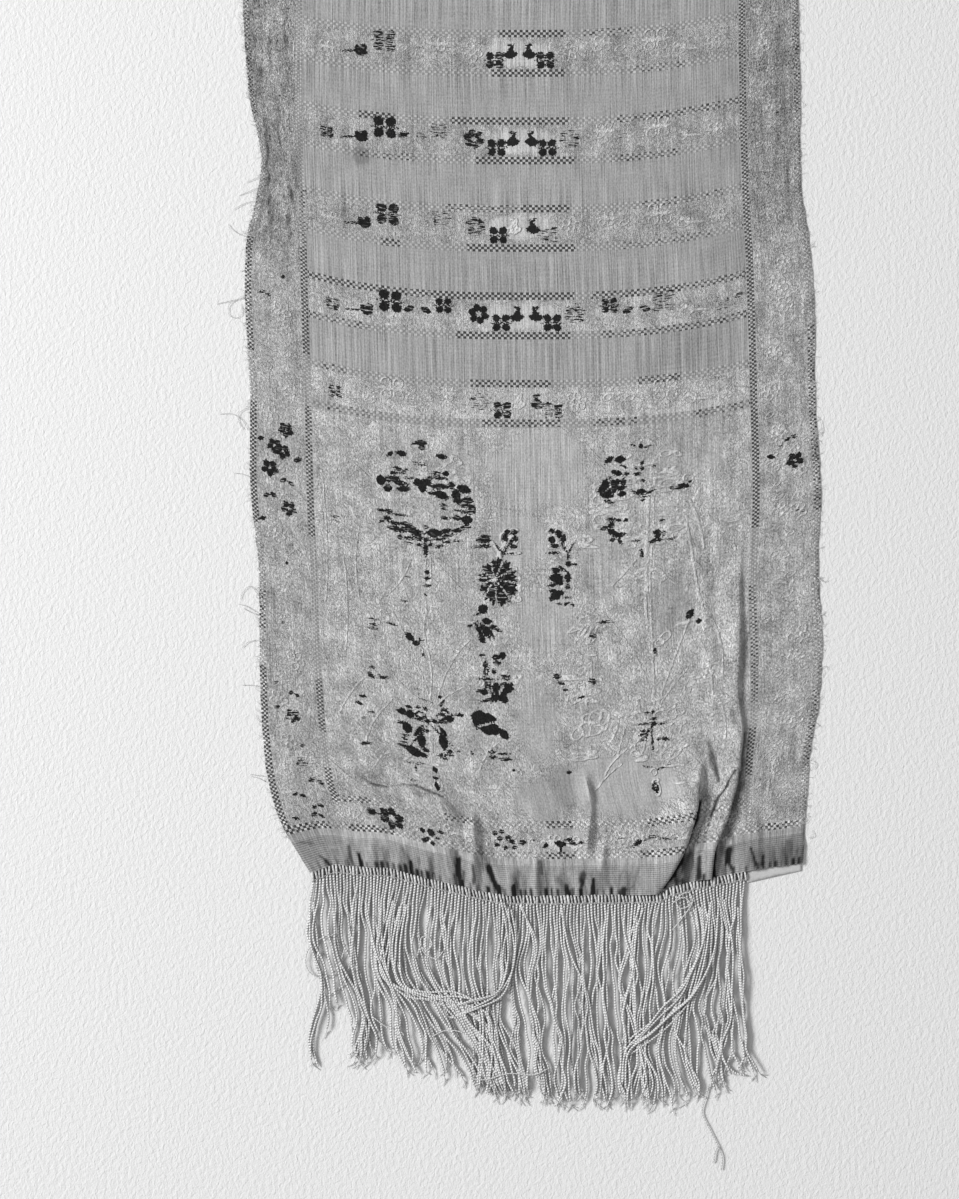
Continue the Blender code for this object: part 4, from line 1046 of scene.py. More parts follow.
# Darker stains, painted shade in the hem's valleys and beside the pleats, and lighter patches: cleaner
# cloth, and painted highlights on the folds' ridges and below creases
STAINS_AND_PAINTED_LIGHT: Table = (
    # photo_x, photo_y, half_x, half_y, depth: below zero it is lighter, for cleaner cloth and painted
    # highlights
    (548, 790, 26, 30, 0.16), (578, 792, 22, 26, 0.12), (348, 610, 30, 30, 0.07), (360, 156, 8, 9, 0.35),
    (548, 712, 14, 16, 0.1), (592, 712, 12, 12, 0.12), (370, 782, 20, 14, 0.14), (378, 760, 10, 24, 0.12),
    (670, 600, 16, 34, 0.12), (660, 440, 40, 30, 0.06), (450, 812, 20, 26, 0.1), (480, 862, 8, 24, 0.14),
    (545, 884, 8, 12, 0.25), (600, 882, 9, 12, 0.25), (628, 884, 12, 10, 0.16), (517, 886, 8, 12, 0.25),
    (690, 868, 9, 13, 0.2), (776, 857, 34, 11, 0.2), (724, 858, 8, 14, 0.25), (566, 886, 8, 12, 0.2),
    (404, 860, 12, 14, 0.12), (455, 872, 8, 20, 0.2), (262, 120, 12, 90, 0.12), (268, 220, 14, 30, 0.16),
    (776, 120, 16, 90, 0.06), (726, 826, 8, 22, 0.12), (590, 798, 4, 26, -0.14), (474, 838, 4, 24, -0.34),
    (535, 880, 2.5, 18, -0.45), (727, 778, 8, 16, -0.34), (708, 866, 5, 11, -0.36), (711, 835, 5, 18, -0.34),
    (430, 812, 18, 12, -0.16), (350, 752, 14, 14, -0.1), (510, 800, 24, 20, -0.1), (530, 850, 8, 14, -0.18),
    (603, 856, 5, 14, -0.2), (390, 838, 60, 9, -0.12), (676, 852, 16, 8, -0.14), (445, 864, 9, 16, -0.12),
    (482, 874, 5, 14, -0.14), (668, 866, 18, 6, -0.12), (444, 846, 18, 12, -0.14), (600, 864, 4, 10, -0.2),
    (399, 792, 38, 6, -0.12), (518, 857, 16, 10, -0.16), (360, 850, 30, 12, -0.08),
    (384, 868, 20, 8, -0.1), (447, 808, 8, 12, 0.1), (476, 832, 5, 16, -0.12),
    (593, 836, 5, 14, -0.12), (560, 862, 30, 12, 0.05), (355, 856, 36, 9, -0.13),
    (625, 864, 30, 5, -0.13), (636, 881, 26, 8, 0.05), (368, 590, 48, 54, -0.05),
    (405, 404, 70, 16, -0.03), (775, 130, 26, 90, 0.03), (690, 352, 44, 16, 0.04),
    (676, 606, 24, 30, 0.05), (700, 640, 20, 60, -0.06), (430, 690, 30, 60, -0.04),
    (719, 806, 6, 18, -0.26), (733, 765, 5, 18, -0.24), (775, 852, 30, 12, 0.14),
    (742, 850, 16, 12, 0.1), (690, 866, 8, 12, 0.12), (736, 800, 5, 30, 0.14),
    (725, 140, 50, 170, 0.05), (690, 350, 60, 20, 0.03), (285, 520, 26, 120, -0.04),
)

# Narrow shadows painted into the colour: creases, valleys of the hem and the cloth beside the pleats
PAINTED_SHADOW_LINES: Table = (
    # photo_x0, photo_y0, photo_x1, photo_y1, half_width, depth
    (362, 778, 372, 784, 0.35, 0.5), (372, 784, 386, 787, 0.4, 0.65), (386, 787, 402, 784, 0.3, 0.25),
    (402, 784, 416, 785, 0.35, 0.5), (416, 785, 430, 791, 0.45, 0.7), (430, 791, 443, 797, 0.45, 0.75),
    (443, 797, 452, 803, 0.5, 0.3), (320, 856, 328, 861, 0.4, 0.6), (327, 861, 330, 865, 0.9, 0.85),
    (349, 847, 351, 858, 0.8, 0.6), (351, 858, 354, 866, 0.6, 0.6), (360, 855, 362, 868, 0.8, 0.92),
    (382, 848, 386, 864, 0.5, 0.3), (388, 852, 389, 862, 1, 0.3), (404, 850, 410, 862, 1.6, 0.4),
    (412, 863, 413, 876, 1.1, 0.95), (419, 858, 420, 870, 0.5, 0.35), (431, 860, 434, 880, 1.6, 0.25),
    (456, 852, 457, 862, 2.2, 0.55), (459, 861, 459, 876, 2.2, 0.97), (458, 874, 458, 888, 1.2, 0.95),
    (464, 872, 463, 888, 1, 0.6), (474, 866, 475, 882, 1, 0.7), (480, 846, 488, 866, 0.7, 0.3),
    (490, 868, 494, 880, 2, 0.93), (494, 880, 499, 888, 1.5, 0.95), (499, 886, 500, 896, 0.9, 0.97),
    (486, 858, 490, 868, 1.2, 0.4), (503, 888, 506, 894, 0.9, 0.55), (519, 874, 516, 888, 1.7, 0.4),
    (514, 886, 515, 896, 1.1, 0.92), (541, 862, 542, 872, 1.1, 0.6), (560, 880, 567, 890, 1.8, 0.4),
    (567, 888, 570, 897, 2, 0.8), (584, 876, 583, 881, 1.7, 0.75), (583, 881, 581.5, 887, 0.8, 0.8),
    (594, 880, 593, 898, 1.1, 0.95), (600, 874, 606, 882, 2.4, 0.3), (625, 890, 621, 894, 1.4, 0.8),
    (634, 886, 628, 890, 0.7, 0.4), (546, 876, 549, 888, 2, 0.25), (650, 864, 648, 890, 1.4, 0.2),
    (709, 742, 712, 752, 1.4, 0.5), (712, 752, 716, 766, 1.7, 0.6), (716, 766, 719, 780, 1.3, 0.7),
    (698, 785, 699, 804, 1.6, 0.35), (700, 803, 697, 818, 1.6, 0.85), (697, 818, 692, 832, 1.3, 0.92),
    (692, 832, 685, 850, 1.2, 0.8), (684, 848, 680, 862, 2.3, 0.93), (680, 862, 672, 876, 2.9, 0.97),
    (672, 876, 662, 886, 2.4, 0.97), (662, 886, 654, 893, 1.3, 0.95), (700, 857, 699, 876, 1.3, 0.85),
    (690, 858, 688, 878, 3.6, 0.7), (676, 880, 690, 883, 0.9, 0.75), (704, 838, 700, 852, 1.3, 0.45),
    (716, 846, 714, 874, 1.3, 0.9), (712, 872, 716, 878, 1.1, 0.9), (730, 850, 729, 861, 1.8, 0.92),
    (728, 862, 733, 869, 1, 0.8), (722, 843, 723, 852, 1.8, 0.5), (735, 770, 729, 780, 0.3, 0.7),
    (729, 780, 726, 788, 0.4, 0.85), (726, 788, 719, 797, 0.4, 0.85), (719, 797, 715, 806, 0.6, 0.75),
    (715, 806, 710, 820, 0.7, 0.8), (710, 820, 706, 832, 0.6, 0.7), (744, 734, 742, 760, 1.2, 0.6),
    (742, 760, 740, 785, 1.8, 0.65), (740, 785, 734, 806, 2.2, 0.6), (733, 806, 730, 834, 2.4, 0.45),
    (722, 818, 722, 834, 2.2, 0.35), (751, 848, 754, 856, 0.8, 0.8), (754, 856, 756, 864, 0.9, 0.85),
    (763, 856, 762, 864, 0.7, 0.8), (775, 859, 776, 864, 1, 0.6), (790, 846, 791, 857, 3, 0.5),
    (768, 848, 769, 858, 1.6, 0.3), (783, 852, 784, 862, 0.7, 0.4), (797, 850, 798, 863, 0.8, 0.5),
    (745, 640, 744, 700, 0.9, 0.25), (448, 822, 474, 856, 2.6, 0.22),
    (480, 822, 494, 862, 2.6, 0.2), (699, 545, 702, 570, 1.2, 0.25), (716, 560, 712, 590, 1, 0.25),
    (720, 634, 726, 668, 1, 0.2), (733, 712, 735, 720, 1, 0.45), (300, 842, 312, 843, 0.4, 0.4),
)

# Places of the deep stitches where the fringe's heading is whipped to the hem, with the shade in them
# painted dark
STITCH_SHADE_SLOTS: Table = (
    # photo_x, half_width, height up the hem, depth
    (377, 1, 2, 0.8), (383.5, 1.1, 2.6, 0.9), (389, 0.9, 2.6, 0.85), (395, 0.9, 2, 0.7),
    (401, 0.9, 2.2, 0.8), (407, 1.1, 4, 0.95), (413, 1.1, 4.6, 0.97), (418, 1, 2.6, 0.95),
    (423, 0.8, 2.6, 0.9), (428, 1, 3.2, 0.95), (434, 0.9, 2.8, 0.95), (440, 0.7, 1.8, 0.55),
    (451, 0.7, 1.6, 0.5), (463, 1.2, 3.2, 0.95), (472, 0.7, 1.8, 0.6), (477, 0.7, 1.8, 0.6),
    (489, 1.2, 2.2, 0.9), (495, 0.6, 1.6, 0.5), (500, 1, 4, 0.97), (505, 0.9, 2, 0.6),
    (514, 1.2, 4.4, 0.97), (521, 0.8, 2.4, 0.9), (526, 0.8, 2.2, 0.92), (532, 0.8, 3, 0.95),
    (540, 0.7, 1.6, 0.5), (546, 1, 3.4, 0.95), (552, 0.7, 3.4, 0.95), (559, 0.8, 2.6, 0.9),
    (567, 1.3, 4, 0.95), (573, 0.9, 3.2, 0.8), (581, 1.1, 3, 0.95), (593, 1.1, 5, 0.97),
    (598, 0.8, 2.2, 0.7), (604, 0.6, 1.6, 0.5), (611, 0.9, 3.2, 0.95), (617, 0.5, 1.6, 0.4),
    (624, 1.2, 3.4, 0.9), (630, 0.7, 2.4, 0.6), (638, 0.5, 1.8, 0.4), (646, 0.5, 1.6, 0.4),
    (340, 0.6, 1.2, 0.5), (346, 0.6, 1.2, 0.5), (354, 0.7, 1.6, 0.6), (362, 1, 3, 0.9),
    (368, 0.7, 1.6, 0.6), (676, 1, 3, 0.8), (682, 1, 2.4, 0.85), (689, 0.8, 2, 0.8),
    (696, 0.6, 2, 0.6), (704, 0.8, 1.8, 0.9), (714, 1.1, 3.4, 0.95), (726, 0.8, 2.4, 0.6),
    (733, 1, 2.6, 0.8), (745, 0.6, 1.6, 0.7), (757, 0.9, 2.2, 0.8), (763, 0.8, 2.4, 0.9),
    (769, 0.8, 1.6, 0.7), (775, 1, 1.8, 0.9), (781, 0.7, 1.4, 0.6), (787, 0.8, 1.4, 0.7),
    (793, 1, 2.2, 0.9), (798, 0.9, 2.4, 0.9),
)

# How far above the hem's edge a stitch's height is measured from, how far round it is worked
# out, how much wider it is than its own half width, and where it starts to fade, in sizes
STITCH_START = 2.3
STITCH_REACH = 8.0
STITCH_WIDTH = 1.25
STITCH_EDGE = 1.5


@dataclass
class Figure:
    """The woven figures and wear on one grid of cloth points, with the shade and highlights painted into the
    colour.
    """

    across: Array
    along: Array
    drape: Drape
    dark: Array = field(init=False)
    pale: Array = field(init=False)
    left_dark: Array = field(init=False)
    rough: Array = field(init=False)
    tone: Array = field(init=False)
    checks: Array = field(init=False)

    def __post_init__(self) -> None:
        """Lay blank fields over the grid."""
        size = (len(self.along), len(self.across))
        self.dark = np.full(size, FIELD_EMPTY)
        self.pale = np.full(size, FIELD_EMPTY)
        self.left_dark = np.ones(size)
        self.rough = np.ones(size)
        self.tone = np.zeros(size)
        self.checks = np.zeros(size)

    def _patch(self, across: float, along: float, reach: float) -> tuple[Any, Array, Array]:
        """Return the part of the grid near a place, which may be empty, and its offsets from there."""
        columns = slice(*np.searchsorted(self.across, (across - reach, across + reach)))
        rows = slice(*np.searchsorted(self.along, (along - reach, along + reach)))
        off_across = self.across[None, columns] - across
        off_along = self.along[rows, None] - along
        return (rows, columns), off_across, off_along

    def _inside(self, shape: Shape, off_across: Array, off_along: Array) -> Array:
        """Return how far inside a shape each point is, in millimetres."""
        turn = math.radians(shape.tilt)
        right = (off_across * math.cos(turn) + off_along * math.sin(turn)) / shape.half_across
        up = (off_along * math.cos(turn) - off_across * math.sin(turn)) / shape.half_along
        if shape.pointed:
            distance = np.abs(up) + right * right
        elif shape.angular:
            distance = (np.abs(right) ** ANGULAR_POWER + np.abs(up) ** ANGULAR_POWER) ** (1 / ANGULAR_POWER)
        else:
            distance = np.sqrt(right * right + up * up)
        return (1 - distance) * min(shape.half_across, shape.half_along)

    def stamp(self, shape: Shape, left_dark: float) -> None:
        """Weave one shape.

        Args:
            shape: the shape.
            left_dark: how much of it is still dark: at 0 its pale edge alone is left, and
                below 0 it is a gap in what is dark.
        """
        reach = max(shape.half_across, shape.half_along) + STAMP_MARGIN
        patch, off_across, off_along = self._patch(shape.across, shape.along, reach)
        inside = self._inside(shape, off_across, off_along)
        if left_dark < 0:
            self.dark[patch] = np.minimum(self.dark[patch], -inside - FIGURE_GROWTH)
            return
        if left_dark == 0:
            edge = GHOST_EDGE - np.abs(inside)
            self.pale[patch] = np.maximum(self.pale[patch], edge)
            return
        near = inside > np.maximum(self.dark[patch], STAMP_NEAR)
        self.left_dark[patch] = np.where(near, left_dark, self.left_dark[patch])
        self.dark[patch] = np.maximum(self.dark[patch], inside)

    def figure(self, motif: Motif, place: Sequence[float], size: float, side: int, left: float) -> None:
        """Weave one motif about a place in the weave."""
        for shape in motif.shapes(abs(size), side if size > 0 else -side):
            moved = shape._replace(across=shape.across + place[0], along=shape.along + place[1])
            self.stamp(moved, left)

    def garlands(self) -> None:
        """Weave the garland of every cross band, as worn as it is."""
        bands = int((LAST_BAND - FIRST_BAND) / BAND_REPEAT) + 1
        for band in range(bands):
            for side in (-1, 1):
                row = GARLAND_LEFT[(2 * band + (side > 0)) % len(GARLAND_LEFT)]
                middle = FIRST_BAND + BAND_REPEAT * band
                for (motif, across, lift, size), left in zip(GARLAND, row[2:]):
                    self.figure(motif, (side * across, middle + lift), size, side, left)

    def plants(self) -> None:
        """Weave the end panel's plants and the single figures."""
        blots = np.array(BLOTS)
        for (across, along), blot in zip(self.drape.cut_places(blots[:, :2]), blots):
            half_x, half_y, tilt, left = blot[2:]
            reach = (half_x * MM_PER_PIXEL, half_y * MM_PER_PIXEL)
            self.stamp(Shape(across, along, *reach, tilt, angular=True), left)
        places = np.array([row[1:3] for row in FIGURES])
        for place, (motif, _, _, size, side, left) in zip(self.drape.cut_places(places), FIGURES):
            self.figure(motif, place, size, side, left)
        self.rosette()
        self.ghosts(blots)

    def rosette(self) -> None:
        """Weave the round flower of toothed petals, parted by pale gaps."""
        photo_x, photo_y, radius_x, radius_y = ROSETTE
        centre, eye = self.drape.cut_places(np.array([(photo_x, photo_y), ROSETTE_EYE]))
        patch, off_across, off_along = self._patch(*centre, radius_y)
        right, up = off_across / (radius_x * MM_PER_PIXEL), off_along / (radius_y * MM_PER_PIXEL)
        turn = np.arctan2(up, right)
        teeth = sum(depth * np.sin(count * turn + start) for depth, count, start in ROSETTE_TEETH)
        inside = (ROSETTE_RIM + teeth - np.hypot(right, up)) * radius_x * MM_PER_PIXEL
        from_eye = off_across + centre[0] - eye[0], off_along + centre[1] - eye[1]
        for gap in ROSETTE_GAPS:
            aim = math.radians(gap)
            ahead = from_eye[0] * math.cos(aim) + from_eye[1] * math.sin(aim)
            aside = from_eye[1] * math.cos(aim) - from_eye[0] * math.sin(aim)
            waver = ROSETTE_GAP_WAVER * np.sin(ROSETTE_GAP_WAVES * ahead + gap)
            wide = ROSETTE_GAP + ROSETTE_GAP_GROWTH * ahead + waver
            parted = np.minimum(inside, np.abs(aside) - wide)
            inside = np.where(ahead > ROSETTE_OVERLAP, parted, inside)
        inside = np.minimum(inside, np.hypot(*from_eye) - ROSETTE_EYE_RADIUS) - FIGURE_GROWTH
        self.dark[patch] = np.maximum(self.dark[patch], inside)
        here = inside > ROSETTE_OVERLAP
        self.left_dark[patch] = np.where(here, ROSETTE_LEFT, self.left_dark[patch])

    def ghosts(self, blots: Array) -> None:
        """Raise the worn figures, which mirror the ones that are left dark."""
        for (across, along), blot in zip(self.drape.cut_places(blots[:, :2]), blots):
            half_x, half_y, tilt, left = blot[2:]
            if left > 0 and half_x + half_y > GHOST_LEAST:
                reach = (half_x * MM_PER_PIXEL * GHOST_SPREAD, half_y * MM_PER_PIXEL * GHOST_SPREAD)
                self.stamp(Shape(2 * PANEL_AXIS - across, along, *reach, -tilt), 0)
        places = np.array([row[1:3] for row in FIGURES])
        for place, (motif, _, _, size, side, _) in zip(self.drape.cut_places(places), FIGURES):
            if abs(place[0]) > BORDER_LINE:
                self.figure(motif, (-place[0], place[1]), size, -side, 0)
        self._border_ghosts()

    def _border_ghosts(self) -> None:
        """Raise worn flowers and leaves down both side borders and the hem's band."""
        random = np.random.default_rng(3)
        for side in (-1, 1):
            for along in np.arange(*BORDER_GHOSTS):
                motif = (Motif.BLOOM, Motif.PAIR, Motif.LEAF)[random.integers(3)]
                across = side * random.uniform(*BORDER_GHOSTS_ACROSS)
                place = (across, along + random.uniform(-BORDER_GHOST_STRAY, BORDER_GHOST_STRAY))
                self.figure(motif, place, random.uniform(*BORDER_GHOST_SIZES), side, 0)
        for across in np.arange(*HEM_GHOSTS):
            motif = (Motif.BLOOM, Motif.PAIR)[random.integers(2)]
            place = (across, HEM_BAND + random.uniform(-HEM_GHOST_STRAY, HEM_GHOST_STRAY))
            self.figure(motif, place, 1.0, 1, 0)

    def pale_lines(self) -> None:
        """Raise the stems and leaf edges."""
        lines = np.array(PALE_LINES)
        ends = [self.drape.cut_places(lines[:, i : i + 2]) for i in (0, 2, 4)]
        for start, middle, end, line in zip(*ends, lines):
            steps = int(max(np.hypot(*(end - start)) / PALE_STEP, 4))
            for part in np.linspace(0, 1, steps):
                place = start * (1 - part) ** 2 + 2 * middle * part * (1 - part) + end * part**2
                patch, off_across, off_along = self._patch(*place, PALE_REACH)
                inside = line[6] + PALE_SPREAD - np.hypot(off_across, off_along)
                self.pale[patch] = np.maximum(self.pale[patch], inside)

    # Lay the smooth patches, stains and worn checks, and the light and shade painted into the colour: dark
    # stitches, narrow shadows and highlights on the folds
    def wear_and_painted_light(self) -> None:
        patches = np.array(SMOOTH_PATCHES)
        for place, row in zip(self.drape.cut_places(patches[:, :2]), patches):
            patch, share = self._soft(place, row[2:4])
            self.rough[patch] = np.minimum(self.rough[patch], 1 + (row[4] - 1) * share)
        stain_and_light_rows = np.array(STAINS_AND_PAINTED_LIGHT)
        for place, row in zip(self.drape.cut_places(stain_and_light_rows[:, :2]), stain_and_light_rows):
            patch, share = self._soft(place, row[2:4], 1.0)
            self.tone[patch] += row[4] * share
        across, along = self.across[None, :], self.along[:, None]
        for table, off, run in ((CHECKS_LEFT, along, across), (LINES_LEFT, across, along)):
            for line, start, end, left in table:
                inside = (np.abs(off - line) < CHECK_REACH) & (run > start) & (run < end)
                self.checks = np.where(inside, np.maximum(self.checks, left), self.checks)
        self.checks = np.where(along > CHARTED_TO, CHECKS_ABOVE, self.checks)
        for row in STITCH_SHADE_SLOTS:
            self._stitch_shade(*row)
        painted_shadows = np.array(PAINTED_SHADOW_LINES)
        ends = [self.drape.cut_places(painted_shadows[:, i : i + 2]) for i in (0, 2)]
        for start, end, row in zip(*ends, painted_shadows):
            self._painted_shadow(start, end, row[4], row[5])

    def _painted_shadow(self, start: Array, end: Array, half_width: float, depth: float) -> None:
        """Paint a narrow soft shadow between two places in the weave, darkening the colour."""
        middle, run = (start + end) / 2, end - start
        length = max(float(np.hypot(*run)), 0.1)
        patch, off_across, off_along = self._patch(*middle, length / 2 + 3 * half_width + 1)
        ahead = (off_across * run[0] + off_along * run[1]) / length
        aside = (off_across * run[1] - off_along * run[0]) / length
        aside = np.where(aside > 0, aside * SHADOW_SOFT_SIDE, -aside * SHADOW_SHARP_SIDE)
        past = np.maximum(np.abs(ahead) - length / 2, 0) * SHADOW_TIP
        places = np.broadcast_arrays(off_across + middle[0], off_along + middle[1])
        ragged = 1 + SHADOW_RAGS * self.drape.fine_grain.at(*places, *SHADOW_RAG_SIZE)
        off = np.hypot(aside, past) * ragged / (half_width + SHADOW_SPREAD)
        share = smooth(SHADOW_EDGE - off)
        self.tone[patch] = np.maximum(self.tone[patch], depth * share)

    def _stitch_shade(self, photo_x: float, half_width: float, height: float, depth: float) -> None:
        """Paint the shade in the deep stitch above the heading at one place, darkening the colour."""
        hem_x = plan_place(photo_x, PHOTO_ZERO_Y)[0]
        hem = self.drape.middle(self.across, np.zeros_like(self.across))
        across = self.across[np.argmin(np.abs(hem[:, 0] - hem_x))]
        patch, off_across, off_along = self._patch(across, STITCH_START, STITCH_REACH)
        share = smooth(STITCH_EDGE - np.abs(off_across) / (half_width * STITCH_WIDTH))
        share = share * smooth(STITCH_EDGE - off_along / height)
        self.tone[patch] = np.maximum(self.tone[patch], depth * share)

    def _soft(self, place: Array, half_sizes: Array, edge: float = 0.5) -> tuple[Any, Array]:
        """Return a soft ellipse over the grid, its half sizes in pixels of the photograph."""
        reach_x, reach_y = half_sizes * MM_PER_PIXEL
        reach = PATCH_REACH * max(reach_x, reach_y) + PATCH_MARGIN
        patch, off_across, off_along = self._patch(*place, reach)
        distance = np.hypot(off_across / reach_x, off_along / reach_y)
        places = np.broadcast_arrays(off_across + place[0], off_along + place[1])
        ragged = PATCH_RAGS * self.drape.grain.at(*places, *PATCH_RAG_SIZE)
        return patch, smooth((1 + edge / 2 - distance + ragged * edge) / edge)


def shader_math(operation: str, flipped: bool = False) -> Callable[..., Value]:
    """Return a method of Value that adds one Math node.

    Args:
        operation: the node's operation.
        flipped: whether the other value comes first.

    Returns:
        The method, which takes the other value if the operation has one.
    """

    def method(self: Value, other: Any = None) -> Value:
        """Add the node and return its output."""
        values = [self] if other is None else [self, other]
        inputs = dict(enumerate(values[::-1] if flipped else values))
        node = self.shader.node("ShaderNodeMath", {"operation": operation}, inputs)
        return Value(self.shader, node.outputs[0])

    return method


class Value:
    """A shader socket that takes part in Python arithmetic."""

    def __init__(self, shader: Shader, socket: Any) -> None:
        """Wrap one output socket."""
        self.shader = shader
        self.socket = socket

    __add__ = __radd__ = shader_math("ADD")
    __sub__ = shader_math("SUBTRACT")
    __rsub__ = shader_math("SUBTRACT", flipped=True)
    __mul__ = __rmul__ = shader_math("MULTIPLY")
    __truediv__ = shader_math("DIVIDE")
    __abs__ = shader_math("ABSOLUTE")

    # 1 where this is greater, or less, than the other value, else 0
    over = shader_math("GREATER_THAN")
    under = shader_math("LESS_THAN")

    # The greater, or lesser, of two values
    most = shader_math("MAXIMUM")
    least = shader_math("MINIMUM")

    # The value rounded down, what is left above that, and the sine
    floor = shader_math("FLOOR")
    part = shader_math("FRACT")
    sine = shader_math("SINE")

    def between(self, low: float, high: float) -> Value:
        """Return 1 from low to high, else 0."""
        return self.over(low) * self.under(high)

    def step(self, low: Any, high: Any) -> Value:
        """Rise smoothly from 0 at low to 1 at high."""
        inputs = {"Value": self, "From Min": low, "From Max": high}
        node = self.shader.node("ShaderNodeMapRange", {"interpolation_type": "SMOOTHSTEP"}, inputs)
        return Value(self.shader, node.outputs[0])


class Shader:
    """One material's node tree."""

    def __init__(self, name: str) -> None:
        """Start a material with its plain shader and output."""
        self.material = bpy.data.materials.new(name)
        self.material.use_nodes = True
        self.tree = self.material.node_tree
        self.surface = self.tree.nodes["Principled BSDF"]

    def node(
        self, kind: str, settings: dict[str, Any] | None = None, inputs: dict[Any, Any] | None = None
    ) -> Any:
        """Add one node.

        Args:
            kind: the node's type.
            settings: its own settings, set first.
            inputs: values or links of its sockets, by name or number.

        Returns:
            The node.
        """
        node = self.tree.nodes.new(kind)
        for name, setting in (settings or {}).items():
            setattr(node, name, setting)
        for key, value in (inputs or {}).items():
            self.feed(node.inputs[key], value)
        return node

    def feed(self, socket: Any, value: Any) -> None:
        """Link a value to a socket, or set the socket to a plain number."""
        if isinstance(value, Value):
            self.tree.links.new(value.socket, socket)
        else:
            socket.default_value = value

    def split(self, socket: Any) -> list[Value]:
        """Return the three numbers of a vector socket."""
        node = self.node("ShaderNodeSeparateXYZ", None, {"Vector": Value(self, socket)})
        return [Value(self, output) for output in node.outputs]

    def attribute(self, name: str) -> list[Value]:
        """Return the three numbers of a mesh attribute."""
        return self.split(self.node("ShaderNodeAttribute", {"attribute_name": name}).outputs["Vector"])

    def place(self) -> Any:
        """Return the weave's own coordinates, in millimetres."""
        return self.node("ShaderNodeUVMap", {"uv_map": "weave"}).outputs[0]

    def noise(self, place: Any, cell_x: float, cell_y: float, detail: float = 2, bend: float = 0) -> Value:
        """Return noise from 0 to 1 whose bumps have the given size in millimetres."""
        scale = (1 / cell_x, 1 / cell_y, 1.0)
        settings = {"operation": "MULTIPLY"}
        scaled = self.node("ShaderNodeVectorMath", settings, {0: Value(self, place), 1: scale})
        inputs = {"Vector": Value(self, scaled.outputs[0]), "Scale": 1.0}
        inputs |= {"Detail": detail, "Distortion": bend}
        node = self.node("ShaderNodeTexNoise", {"noise_dimensions": "2D"}, inputs)
        return Value(self, node.outputs[0])

    def mix(self, share: Any, first: Any, second: Any) -> Value:
        """Mix two greys or colours by a share."""
        node = self.node("ShaderNodeMix", {"data_type": "RGBA"}, {0: share})
        for index, colour in ((6, first), (7, second)):
            grey = isinstance(colour, (int, float))
            self.feed(node.inputs[index], (colour, colour, colour, 1.0) if grey else colour)
        return Value(self, node.outputs[2])

    def finish(self, colour: Value, roughness: Any, height: Value, depth: float = MM) -> bpy.types.Material:
        """Give the surface its colour, roughness and relief.

        Args:
            colour: the base colour.
            roughness: the roughness.
            height: the relief, in millimetres.
            depth: metres for one unit of height.

        Returns:
            The material.
        """
        self.feed(self.surface.inputs["Base Color"], colour)
        self.feed(self.surface.inputs["Roughness"], roughness)
        bump = self.node("ShaderNodeBump", None, {"Strength": 1.0, "Distance": depth, "Height": height})
        self.feed(self.surface.inputs["Normal"], Value(self, bump.outputs[0]))
        return self.material


